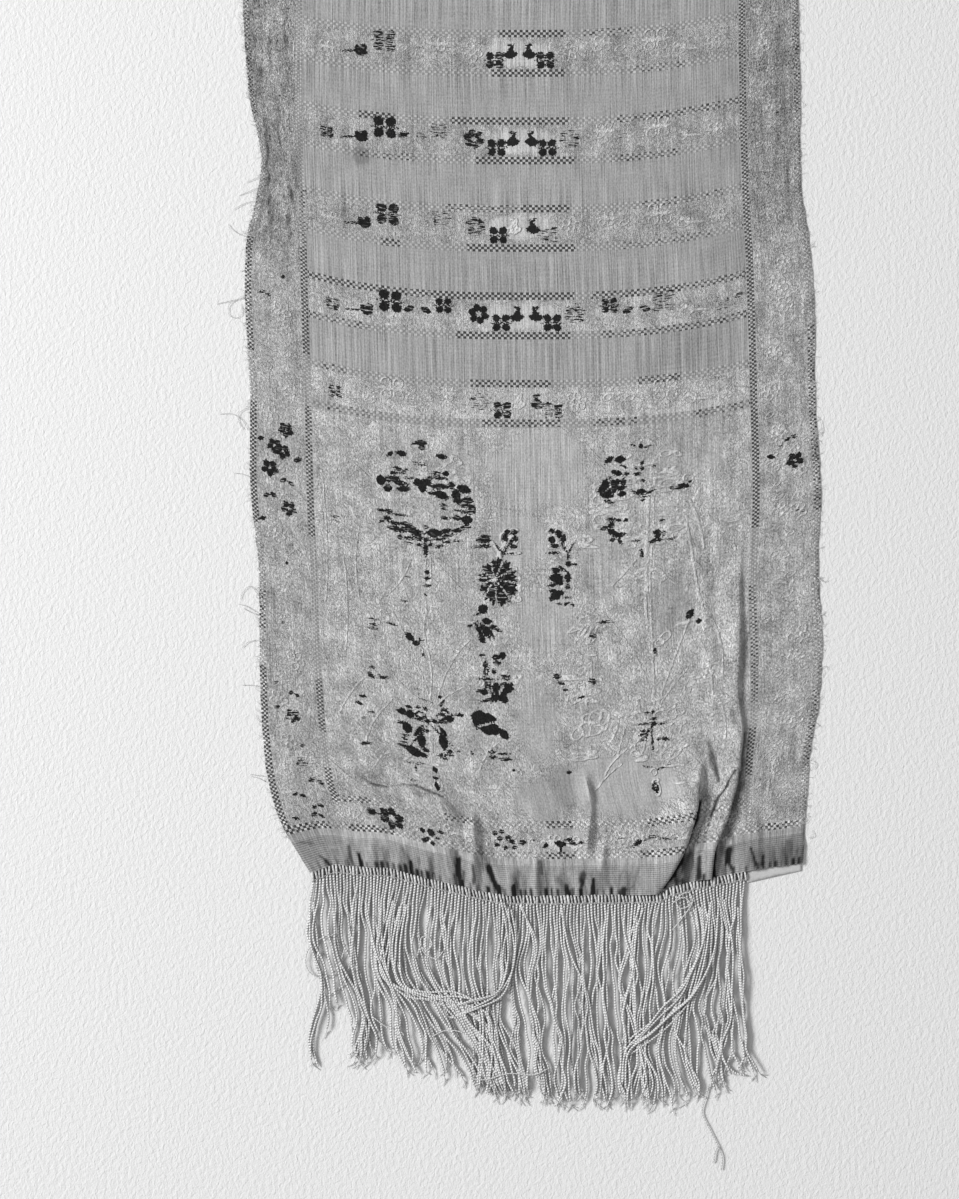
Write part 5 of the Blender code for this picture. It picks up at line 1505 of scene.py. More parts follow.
@dataclass(frozen=True)
class WovenSilk:
    """The finish of the woven cloth, with its figures, checks, floats and wear, and the shade and highlights
    painted into its colour.
    """

    ground: float = 0.36
    pale: float = 0.86
    black: float = 0.009
    roughness: float = 0.62
    sheen: float = 0.025
    specular: float = 0.1
    check_rows: float = 3.0
    check_wide: float = 3.7
    check_tall: float = 1.6
    line_check_wide: float = 1.45
    line_check_tall: float = 2.56

    def build(self) -> bpy.types.Material:
        """Build the material."""
        shader = Shader("worn_woven_silk")
        place = shader.place()
        across, along, _ = shader.split(place)
        dark, pale_line, left_dark = shader.attribute("figures")
        # The second number holds the stains together with painted shade and painted highlights
        rough, stain_and_painted_light, checks = shader.attribute("wear_and_painted_light")
        near = HALF_LENGTH - abs(along - HALF_LENGTH)
        aside = abs(across)

        # Unevenness: streaks in the warp, bars in the weft, worn floats, knots and cloudy wear
        streak = shader.noise(place, 0.8, 46, 3) - 0.5
        broad = (shader.noise(place, 7, 150, 2) - 0.5) * near.step(60, 320)
        weft = shader.noise(place, 26, 0.8, 2) - 0.5
        grain = shader.noise(place, 0.9, 1.5, 2) - 0.5
        float_noise = shader.noise(place, 2.0, 5.0, 2, 1.6)
        floats = 1 - abs(float_noise - 0.5).step(0.0, 0.06)
        outline_noise = shader.noise(place, 7.5, 10.0, 2, 2.2)
        outlines = 1 - abs(outline_noise - 0.5).step(0.0, 0.022)
        knots = shader.noise(place, 1.1, 1.6, 1, 0.8).step(0.6, 0.76)
        cloudy = shader.noise(place, 11, 15, 3) - 0.5
        gaps = shader.noise(place, 5.5, 0.85, 2).step(0.3, 0.7)
        ragged = shader.noise(place, 1.3, 0.9, 1) - 0.5

        # Checked rows beside the bands, and checked lines along the side borders
        repeat = (near - FIRST_BAND) / BAND_REPEAT + 0.5
        local = abs((repeat.part() - 0.5) * BAND_REPEAT)
        upper = near.between(PANEL_TOP - 1.5, LAST_BAND)
        hem_local = abs(near - HEM_BAND)
        in_hem = near.under(70)
        row_place = (local - BAND_HALF) * upper + (1 - upper) * 99
        row_place = row_place * (1 - in_hem) + (hem_local - HEM_BAND_HALF) * in_hem
        row = row_place / self.check_tall + self.check_rows / 2
        inner = aside.under(BORDER_LINE - 2.4)
        whole = near.under(HEM_BAND)
        in_row = row.between(0.0, self.check_rows) * inner.most(whole)
        on_row = (across / self.check_wide + row.floor() * 0.5).part().under(0.52)
        outer_line = aside.over(160)
        line_place = aside - (BORDER_LINE + (EDGE_LINE - BORDER_LINE) * outer_line)
        line = line_place / self.line_check_wide + self.check_rows / 2
        in_line = line.between(0.0, self.check_rows) * near.over(HEM_STRIP + 3)
        on_line = (near / self.line_check_tall + line.floor() * 0.5).part().under(0.55)
        in_check = in_row.most(in_line)
        on_check = (in_row * on_row).most(in_line * on_line * (1 - in_row))
        check_left = (checks + (gaps - 0.5) * 0.9).step(0.42, 0.62)

        # The parts that are worked with floats, and the plain ones
        in_band = local.under(BAND_HALF - 2.4) * upper * inner
        side = aside.over(BORDER_LINE + 2.2)
        in_panel = near.between(HEM_BAND + HEM_BAND_HALF, PANEL_TOP) * inner
        ribs = near.under(HEM_RIBS)
        strip = near.between(HEM_RIBS, HEM_STRIP)
        hem_figures = near.between(HEM_STRIP, HEM_BAND + HEM_BAND_HALF)
        worked = in_band.most(side).most(in_panel).most(hem_figures) * (1 - ribs) * (1 - strip)
        rough = rough * worked
        middle_stripe = across.between(-5.0, 17.0)

        strip_lines = near.between(HEM_RIBS - 0.5, HEM_RIBS + 0.4)
        strip_lines = strip_lines.most(near.between(HEM_STRIP - 0.6, HEM_STRIP + 0.2))
        ribbing = (near * (math.tau / 1.3)).sine()

        upper_side = side * near.step(370, 430)

        # How light the ground is, with its threads and wear
        level = self.ground + worked * 0.08 + in_band * (1 - rough) * 0.09
        level = level + rough * 0.2 - side * 0.07 - upper_side * 0.052 - hem_figures * 0.02
        level = level - in_band * rough * near.step(340, 400) * 0.11
        level = level - ribs * 0.02 + strip * 0.04 + middle_stripe * 0.012 + strip_lines * 0.06
        quiet = near.between(HEM_STRIP, 120) * inner
        threads = 1 + streak * (1.5 - rough * 0.8 - quiet * 0.8 - ribs * 0.6) + broad * 0.25 + weft * 0.26
        threads = threads + grain * (0.8 + upper_side * 0.8)
        threads = threads + ribbing * ribs * 0.26 + cloudy * 0.25
        worn = floats * 0.3 + outlines * 0.34 - 0.05 + grain * 0.2 + cloudy * 0.7 - knots * 0.34
        worn = worn + upper_side * (floats * 0.25 - knots * 0.25)
        level = level * (threads + rough * worn)
        chain = in_check * (1 - on_check)
        level = level * (1 + chain * 0.3)

        # Over it stains and painted shade, lighter patches and painted highlights, raised lines, checks and
        # dark figures
        ground = shader.mix((stain_and_painted_light * 1.15).most(0.0).least(0.985), level, 0.01)
        ground = shader.mix((0 - stain_and_painted_light).most(0.0), ground, 0.85)
        lifted = pale_line.step(-0.45, 0.25)
        ground = shader.mix(lifted * 0.62, ground, self.pale)
        ground = shader.mix(on_check * (0.22 + check_left * 0.7), ground, 0.03)
        left = gaps.step((1 - left_dark) * 1.15 - 0.2, (1 - left_dark) * 1.15 + 0.02)
        figure = (dark + FIGURE_GROWTH + ragged * 1.9).step(-0.12, 0.12) * left
        colour = shader.mix(figure * 0.985, ground, self.black)

        # The relief, in millimetres
        height = rough * (floats * 0.6 + outlines * 1.15 + grain * 0.3 - knots * 0.3)
        height = height + lifted * 0.95 + chain * 0.4 - figure * 0.08 + streak * 0.16
        height = height + ribbing * ribs * 0.1 + grain * 0.12 + cloudy * worked * 0.9
        height = height + upper_side * (floats * 0.5 + grain * 0.7 - knots * 0.4)
        shader.surface.inputs["Sheen Weight"].default_value = self.sheen
        shader.surface.inputs["Specular IOR Level"].default_value = self.specular
        return shader.finish(colour, self.roughness, height)


@dataclass(frozen=True)
class TwistedSilk:
    """The finish of the fringe's cords: two light plies, with shade painted into the grooves between them
    and onto the cords' flanks.
    """

    light: float = 0.8
    groove_shade: float = 0.03
    bead: float = 1.75
    slant: float = 1.3
    relief: float = 0.4
    roughness: float = 0.6
    specular: float = 0.2

    def build(self) -> bpy.types.Material:
        """Build the material."""
        shader = Shader("twisted_silk")
        plain, shade, phase = shader.attribute("cord")
        place = shader.place()
        turn, along, _ = shader.split(place)
        twist = (turn * self.slant + along / self.bead + phase).part()
        aside = abs(twist - 0.5) * 2
        flank = abs(turn - 0.5) * 4
        # Painted shade: near black in the grooves between the plies, and darker towards the cord's flanks
        groove_shade = (aside + flank * 0.3).step(0.45, 1.15) * (1 - plain)
        under = (flank - 0.5).step(0.0, 0.6) * (1 - plain * 0.6)
        fibres = shader.noise(place, 0.3, 1.4, 2) - 0.5
        level = self.light * shade * (1 + fibres * 0.5) * (1 - under * 0.68)
        colour = shader.mix(groove_shade * 0.6, level, self.groove_shade)
        height = fibres * 0.15 - aside * aside * (1 - plain) * self.relief
        shader.surface.inputs["Specular IOR Level"].default_value = self.specular
        return shader.finish(colour, self.roughness, height)


@dataclass(frozen=True)
class TapeCotton:
    """The finish of the pale tape under the hem's corner."""

    level: float = 0.60
    roughness: float = 0.8

    def build(self) -> bpy.types.Material:
        """Build the material."""
        shader = Shader("tape_cotton")
        place = shader.place()
        weave = shader.noise(place, 1.6, 0.7, 2) - 0.5
        soft = shader.noise(place, 9, 5, 2) - 0.5
        colour = shader.mix(0.0, self.level * (1 + weave * 0.18 + soft * 0.16), 0.0)
        return shader.finish(colour, self.roughness, weave * 0.1)


@dataclass(frozen=True)
class Paper:
    """The finish of the pale pebbled paper that the sash lies on."""

    level: float = 0.84
    pebble: float = 2.6

    def build(self) -> bpy.types.Material:
        """Build the material."""
        shader = Shader("pebbled_paper")
        place = shader.node("ShaderNodeTexCoord").outputs["Object"]
        cell = self.pebble * MM
        pebbles = shader.noise(place, cell, cell * 1.3, 3, 0.4) - 0.5
        fibres = shader.noise(place, cell * 0.4, cell * 0.4, 2) - 0.5
        colour = shader.mix(0.0, self.level * (1 + pebbles * 0.03), 0.0)
        return shader.finish(colour, 0.85, pebbles * 0.55 + fibres * 0.2)


def make_object(name: str, points: Array, faces: list[Sequence[int]], material: Any) -> Any:
    """Make one smooth-shaded mesh object.

    Args:
        name: the piece's name.
        points: its corners, in metres.
        faces: the corner numbers of each face.
        material: its finish.

    Returns:
        The object, linked to the scene.
    """
    mesh = bpy.data.meshes.new(name)
    sizes = np.fromiter((len(face) for face in faces), dtype=np.int32, count=len(faces))
    corners = np.fromiter((c for face in faces for c in face), dtype=np.int32, count=int(sizes.sum()))
    mesh.vertices.add(len(points))
    mesh.vertices.foreach_set("co", np.asarray(points, np.float32).ravel())
    mesh.loops.add(len(corners))
    mesh.loops.foreach_set("vertex_index", corners)
    mesh.polygons.add(len(faces))
    mesh.polygons.foreach_set("loop_start", np.concatenate([[0], np.cumsum(sizes)[:-1]]).astype(np.int32))
    mesh.update(calc_edges=True)
    mesh.validate()
    mesh.shade_smooth()
    mesh.materials.append(material)
    piece = bpy.data.objects.new(name, mesh)
    bpy.context.scene.collection.objects.link(piece)
    return piece


def paint(piece: Any, name: str, values: Array) -> None:
    """Store three numbers for each point of a mesh."""
    attribute = piece.data.attributes.new(name, "FLOAT_VECTOR", "POINT")
    attribute.data.foreach_set("vector", np.asarray(values, np.float32).ravel())


def lay_uv(piece: Any, places: Array) -> None:
    """Store the weave's coordinates of each point as the map that the finishes read."""
    mesh = piece.data
    corners = np.empty(len(mesh.loops), np.int32)
    mesh.loops.foreach_get("vertex_index", corners)
    layer = mesh.uv_layers.new(name="weave")
    layer.data.foreach_set("uv", np.asarray(places, np.float32)[corners].ravel())


@dataclass
class ClothPiece:
    """One stretch of the woven cloth, as a closed thin wall with a fine upper face."""

    name: str
    along_from: float
    along_to: float
    spacing_across: float
    spacing_along: float
    under_every: int = 4
    fine_under_folds: bool = False
    far_end: bool = False
    folds_from: float = 56.0
    folds_to: float = 142.0
    charted_past_panel: float = 300.0

    def lines(self) -> tuple[Array, Array]:
        """Return the warp lines and heights of the upper face."""
        every, length = self.under_every, self.along_to - self.along_from
        columns = every * round(CLOTH_WIDTH / self.spacing_across / every)
        rows = every * round(length / self.spacing_along / every)
        across = np.linspace(-HALF_WIDTH, HALF_WIDTH, columns + 1)
        return across, np.linspace(self.along_from, self.along_to, rows + 1)

    def build(self, drape: Drape, frame: Frame, material: Any) -> Any:
        """Build the piece.

        Args:
            drape: how the cloth lies.
            frame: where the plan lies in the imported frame.
            material: the cloth's finish.

        Returns:
            The object.
        """
        across, along = self.lines()
        grid_across, grid_along = np.meshgrid(across, along)
        middle = drape.middle(grid_across, grid_along)
        outward = self._outward(middle)
        top = middle + outward * (WALL / 2)
        top[..., 2] += drape.crumple(grid_across, grid_along, middle)
        from_edge = HALF_WIDTH - np.abs(grid_across)
        top[..., 2] -= EDGE_DROP * (1 - smooth(from_edge / EDGE_ROLL))
        wander = EDGE_WANDER * smooth(1 - from_edge / EDGE_WANDER_REACH)
        top[..., 0] += wander * drape.grain.at(grid_along, grid_across * 0 + 3, *EDGE_WANDER_SIZE)
        under = middle - outward * (WALL / 2)
        under[..., 2] = np.where(under[..., 2] < UNDER_FLAT, 0.0, under[..., 2])
        top[..., 2] = np.maximum(top[..., 2], under[..., 2] + THINNEST_WALL)
        columns = self._under_lines(across)
        rows = list(range(0, len(along), self.under_every))
        points, faces, order = self.wall(top, under, rows, columns)
        piece = make_object(self.name, frame.place(points), faces, material)
        piece.data.set_sharp_from_angle(angle=SHARP_ANGLE)
        places = np.stack([grid_across, grid_along], axis=-1)
        lay_uv(piece, order(places))
        self._paint(piece, drape, across, along, order)
        LOG.info("%s: %d points, %d faces", self.name, len(points), len(faces))
        return piece

    def _under_lines(self, across: Array) -> list[int]:
        """Return the warp lines of the under face, all of them where the cloth folds."""
        chosen = set(range(0, len(across), self.under_every)) | {len(across) - 1}
        if self.fine_under_folds:
            folds = (across > self.folds_from) & (across < self.folds_to)
            chosen |= set(np.nonzero(folds)[0].tolist())
        return sorted(chosen)

    @staticmethod
    def _outward(middle: Array) -> Array:
        """Return the unit normals of a grid of points."""
        right = np.gradient(middle, axis=1)
        up = np.gradient(middle, axis=0)
        normal = np.cross(right, up)
        return normal / np.linalg.norm(normal, axis=-1, keepdims=True)

    @staticmethod
    def wall(top: Array, under: Array, rows: list[int], columns: list[int]) -> tuple[Array, list, Any]:
        """Join the upper face, a coarser under face and the rim between them."""
        count_rows, count_columns = top.shape[:2]
        above = np.arange(count_rows * count_columns).reshape(count_rows, count_columns)
        corners = [above[:-1, :-1], above[:-1, 1:], above[1:, 1:], above[1:, :-1]]
        faces: list = np.stack(corners, axis=-1).reshape(-1, 4).tolist()
        below = np.arange(len(rows) * len(columns)).reshape(len(rows), len(columns)) + above.size
        corners = [below[:-1, :-1], below[1:, :-1], below[1:, 1:], below[:-1, 1:]]
        faces += np.stack(corners, axis=-1).reshape(-1, 4).tolist()
        for row, under_row, turn in ((0, 0, 1), (-1, -1, -1)):
            for index in range(len(columns) - 1):
                edge = above[row, columns[index] : columns[index + 1] + 1].tolist()
                face = edge[::-1] + [below[under_row, index], below[under_row, index + 1]]
                faces.append(face[::turn])
        for column, under_column, turn in ((0, 0, -1), (-1, -1, 1)):
            for index in range(len(rows) - 1):
                edge = above[rows[index] : rows[index + 1] + 1, column].tolist()
                face = edge[::-1] + [below[index, under_column], below[index + 1, under_column]]
                faces.append(face[::turn])
        chosen = np.ix_(rows, columns)

        def order(values: Array) -> Array:
            """Lay out values of the grid as the wall's points, upper face first."""
            width = values.shape[2]
            return np.concatenate([values.reshape(-1, width), values[chosen].reshape(-1, width)])

        points = np.concatenate([top.reshape(-1, 3), under[chosen].reshape(-1, 3)])
        return points, faces, order

    def _paint(self, piece: Any, drape: Drape, across: Array, along: Array, order: Any) -> None:
        """Store the figures, the wear and the painted shade and highlights on the piece's points."""
        near_along = CLOTH_LENGTH - along[::-1] if self.far_end else along
        figure = Figure(across, near_along, drape)
        figure.garlands()
        if near_along[0] < PANEL_TOP + self.charted_past_panel:
            figure.plants()
            figure.pale_lines()
            figure.wear_and_painted_light()
        else:
            figure.checks[:] = CHECKS_ABOVE
        fields = [figure.dark, figure.pale, figure.left_dark, figure.rough, figure.tone, figure.checks]
        if self.far_end:
            fields = [values[::-1] for values in fields]
        paint(piece, "figures", order(np.stack(fields[:3], axis=-1)))
        paint(piece, "wear_and_painted_light", order(np.stack(fields[3:], axis=-1)))


@dataclass
class Cloth:
    """The whole woven cloth, in stretches that meet edge to edge."""

    pieces: tuple[ClothPiece, ...] = (
        ClothPiece("cloth_near_hem", 0.0, 200.0, 1.0, 1.0, fine_under_folds=True),
        ClothPiece("cloth_near_panel", 200.0, 400.0, 1.0, 1.0, fine_under_folds=True),
        ClothPiece("cloth_near_bands", 400.0, 600.0, 1.0, 1.0),
        ClothPiece("cloth_field", 600.0, 1940.0, 3.6, 5.0),
        ClothPiece("cloth_far_end", 1940.0, 2440.0, 1.8, 1.8, far_end=True),
    )

    def build(self, drape: Drape, frame: Frame) -> list[Any]:
        """Build every stretch, attach it to the root body and hide the cloth's solid."""
        material = WovenSilk().build()
        made = []
        for part in self.pieces:
            piece = part.build(drape, frame, material)
            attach(piece, "root")
            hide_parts("woven_cloth")
            made.append(piece)
        return made


@dataclass
class Cord:
    """One cord or yarn along a path of the plan."""

    path: Array
    radius: float = 0.8
    shade: float = 1.0
    plain: float = 0.0
    step: float = 2.2
    sides: int = 6
    tip: float = 0.4

    def tube(self) -> tuple[Array, Array, Array, Array]:
        """Return the cord's points, faces, paint and the map places of its faces' corners."""
        gaps = np.linalg.norm(np.diff(self.path, axis=0), axis=1)
        keys = np.concatenate([[0], np.cumsum(gaps)])
        rings = max(int(keys[-1] / self.step), 3)
        at = np.linspace(0, keys[-1], rings + 1)
        table = np.column_stack([keys, self.path])
        line = np.stack([curve(table, column, at) for column in (1, 2, 3)], axis=-1)
        ahead = np.gradient(line, axis=0)
        ahead /= np.linalg.norm(ahead, axis=1, keepdims=True)
        side = np.cross(ahead, (0, 0, 1.0))
        side /= np.maximum(np.linalg.norm(side, axis=1, keepdims=True), 1e-6)
        up = np.cross(side, ahead)
        angles = math.tau * np.arange(self.sides) / self.sides - math.pi / 2
        taper = np.ones(rings + 1)
        taper[-1] = self.tip
        offset = side[:, None] * np.cos(angles)[:, None] + up[:, None] * np.sin(angles)[:, None]
        points = line[:, None] + offset * (self.radius * taper)[:, None, None]
        ring = np.arange(rings)[:, None] * self.sides
        corner = np.arange(self.sides)[None]
        beside = (corner + 1) % self.sides
        faces = np.stack([ring + corner, ring + beside], axis=-1)
        faces = np.concatenate([faces, faces[..., ::-1] + self.sides], axis=-1)
        phase = math.modf(abs(float(self.path[0, 0])) * PHASE_STEP)[0]
        colour = np.tile((self.plain, self.shade, phase), (points.shape[0] * self.sides, 1))
        turns = np.broadcast_to(corner / self.sides, (rings, self.sides))
        along = np.broadcast_to(at[:-1, None], turns.shape)
        gain = at[1] - at[0]
        places = [(turns, along), (turns + 1 / self.sides, along)]
        places += [(turns + 1 / self.sides, along + gain), (turns, along + gain)]
        corners = np.stack([np.stack(place, axis=-1) for place in places], axis=-2)
        return points.reshape(-1, 3), faces.reshape(-1, 4), colour, corners.reshape(-1, 2)


def cord_object(name: str, cords: Sequence[Cord], frame: Frame, material: Any) -> Any:
    """Join cords into one piece with capped ends.

    Args:
        name: the piece's name.
        cords: the cords.
        frame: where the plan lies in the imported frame.
        material: their finish.

    Returns:
        The object.
    """
    points, faces, caps, colours, places, count = [], [], [], [], [], 0
    for cord in cords:
        tube_points, tube_faces, colour, place = cord.tube()
        faces += (tube_faces + count).tolist()
        last = count + len(tube_points)
        caps.append(list(range(count + cord.sides - 1, count - 1, -1)))
        caps.append(list(range(last - cord.sides, last)))
        points.append(tube_points)
        colours.append(colour)
        places.append(place)
        count = last
    piece = make_object(name, frame.place(np.concatenate(points)), faces + caps, material)
    corners = np.concatenate(places)
    spare = np.zeros((len(piece.data.loops) - len(corners), 2))
    layer = piece.data.uv_layers.new(name="weave")
    layer.data.foreach_set("uv", np.concatenate([corners, spare]).astype(np.float32).ravel())
    paint(piece, "cord", np.concatenate(colours))
    LOG.info("%s: %d cords, %d points", name, len(cords), count)
    return piece


# Flow of the near fringe on the photograph: where a cord from each root passes
NEAR_FLOW: Table = (
    # root_x, x_at_930, x_at_970, x_at_1010, x_at_1050, x_at_1090, end_y
    (306, 305, 308, 316, 312, 312, 985),
    (314, 311, 317, 323, 316, 318, 1064),
    (322, 322, 330, 330, 330, 330, 1000),
    (332, 335, 345, 358, 351, 352, 1059),
    (345, 347, 354, 362, 361, 366, 1060),
    (358, 358, 360, 366, 379, 381, 1062),
    (368, 369, 368, 376, 386, 392, 1040),
    (378, 376, 384, 397, 400, 411, 1066),
    (388, 381, 387, 410, 420, 421, 1068),
    (398, 393, 396, 418, 426, 436, 1073),
    (410, 405, 409, 436, 462, 474, 1082),
    (425, 421, 424, 448, 472, 488, 1088),
    (440, 437, 438, 452, 482, 498, 1092),
    (460, 458, 459, 468, 487, 503, 1093),
    (480, 481, 482, 488, 496, 505, 1094),
    (510, 509, 507, 508, 513, 518, 1096),
    (540, 541, 538, 541, 545, 549, 1099),
    (570, 569, 573, 570, 576, 578, 1101),
    (600, 601, 600, 606, 604, 611, 1103),
    (630, 629, 636, 634, 641, 640, 1104),
    (660, 656, 652, 659, 655, 661, 1103),
    (685, 690, 684, 676, 676, 690, 1100),
    (705, 709, 703, 693, 700, 714, 1090),
    (725, 723, 724, 718, 717, 722, 1079),
    (738, 736, 735, 738, 741, 738, 1070),
    (745, 741, 740, 744, 750, 757, 1083),
)
FLOW_HEIGHTS = (930, 970, 1010, 1050, 1090)


class Sway(NamedTuple):
    """One of the noises that bend the near cords aside, in pixels of the photograph."""

    fine: bool
    key: float
    cell_root: float
    cell_down: float
    least: float
    growth: float
    onset: float


# Clumps of cords, each cord's own bends, and its small kinks
CORD_SWAYS: Sequence[Sway] = (
    Sway(False, 1.0, 8.0, 60.0, 1.8, 9.0, 5),
    Sway(True, 7.3, 1.0, 36.0, 1.6, 6.4, 6),
    Sway(True, 5.3, 1.0, 15.0, 1.1, 1.6, 9),
)

# Bundles and single threads that lie over the near fringe
OVERLAYS: Sequence[tuple[int, float, float, tuple[tuple[float, float], ...]]] = (
    # cords, spread, height, path on the photograph
    (5, 8.0, 2.6, (
        (392, 900), (386, 945), (388, 978), (412, 996), (446, 1003), (474, 1014), (492, 1040), (500, 1084),
    )),
    (4, 8.0, 3.4, (
        (404, 905), (396, 950), (402, 984), (430, 998), (462, 1000), (484, 1010), (488, 1050), (482, 1090),
    )),
    (4, 7.0, 4.0, ((446, 1014), (470, 1003), (497, 991), (511, 966), (514, 935), (508, 905))),
    (3, 6.0, 3.2, ((372, 905), (384, 960), (396, 996), (399, 1032), (412, 1066))),
    (4, 6.0, 3.0, ((700, 905), (705, 944), (697, 968), (684, 995), (661, 1022), (636, 1041), (622, 1054))),
    (3, 6.0, 3.8, ((712, 905), (707, 950), (690, 990), (668, 1012), (650, 1032), (628, 1050), (624, 1084))),
    (2, 2.0, 2.8, ((560, 905), (568, 950), (586, 990), (590, 1030), (600, 1062), (598, 1094))),
    (2, 2.0, 2.8, ((640, 905), (628, 950), (618, 985), (632, 1020), (640, 1060), (634, 1098))),
    (2, 2.2, 2.8, ((520, 905), (534, 945), (528, 985), (540, 1030), (534, 1065), (546, 1096))),
    (3, 7.0, 2.8, ((722, 900), (730, 945), (728, 985), (722, 1015), (716, 1042), (728, 1070))),
    (1, 0.5, 2.0, ((738, 905), (741, 950), (743, 1008), (747, 1042), (744, 1062), (737, 1070))),
    (1, 0.5, 2.0, ((712, 1030), (721, 1052), (733, 1070), (748, 1077))),
    (2, 1.4, 1.6, ((312, 900), (308, 930), (318, 960), (323, 990), (314, 1030), (312, 1048), (320, 1064))),
)
THIN_OVERLAYS: Sequence[tuple[float, tuple[tuple[float, float], ...]]] = (
    # height, path on the photograph
    (2.0, ((334, 934), (318, 940), (307, 952), (307, 968), (318, 977), (332, 974), (340, 962), (346, 944))),
    (1.4, ((326, 996), (338, 990), (348, 970), (352, 950))),
    (4.2, ((470, 1078), (486, 1079), (508, 1073), (534, 1074), (548, 1068))),
    (3.4, (
        (673, 902), (684, 897), (690, 904), (680, 908), (676, 899), (688, 892), (692, 902), (680, 920),
        (672, 930),
    )),
    (1.0, ((709, 1084), (706, 1096), (702, 1112), (709, 1128), (718, 1146), (722, 1158), (721, 1170))),
    (1.0, ((718, 1146), (715, 1152), (714, 1160), (712, 1163))),
    (3.6, ((420, 944), (426, 950), (432, 944), (428, 936), (421, 938), (424, 952), (436, 958), (444, 950))),
    (3.0, ((372, 1016), (392, 1030), (402, 1032), (404, 1036))),
    (3.2, ((432, 1036), (446, 1030), (462, 1032), (470, 1040))),
)

# The middle of a loose cord lies at least this high above the surface
OVERLAY_LOWEST = 0.8

# Loose threads that stand out from the cloth's edges
EDGE_THREADS: Sequence[tuple[tuple[float, float], ...]] = (
    ((262, 176), (252, 180), (246, 183)),
    ((262, 186), (248, 192), (238, 196)),
    ((260, 200), (246, 203), (236, 208), (233, 210)),
    ((260, 206), (250, 210), (248, 213)),
    ((254, 235), (244, 236), (234, 231), (228, 224)),
    ((246, 298), (238, 299), (229, 305), (229, 315), (236, 318), (242, 314), (241, 304)),
    ((246, 297), (230, 301), (216, 304)),
    ((248, 430), (242, 420), (232, 414), (219, 414)),
    ((247, 408), (240, 412), (238, 420), (244, 430)),
    ((252, 478), (242, 474), (234, 473)),
    ((259, 596), (250, 586), (243, 592), (240, 600)),
    ((256, 612), (246, 606), (238, 604)),
    ((258, 615), (250, 612), (243, 608)),
    ((256, 640), (248, 642), (242, 648)),
    ((258, 686), (250, 685), (241, 685)),
    ((264, 776), (256, 775), (249, 774)),
    ((266, 782), (258, 778), (250, 776)),
    ((266, 726), (258, 720), (256, 714)),
    ((820, 420), (822, 430), (820, 437)),
    ((818, 578), (824, 582), (828, 580)),
    ((815, 610), (820, 616), (822, 626)),
    ((812, 760), (816, 764), (814, 770)),
    ((808, 838), (814, 836), (812, 830)),
    ((820, 668), (826, 666), (828, 670)),
    ((813, 700), (818, 706), (816, 712)),
    ((246, 20), (240, 26), (242, 34)),
    ((250, 88), (246, 94), (250, 100)),
)


# The cross section of the strip that the cords are sewn to
HEADING_PROFILE: Table = (
    # y from the hem's edge, z
    (0, 0), (0, 0.9), (-0.7, 1.35), (-4.8, 1.35), (-5.5, 0.9), (-5.6, 0),
)


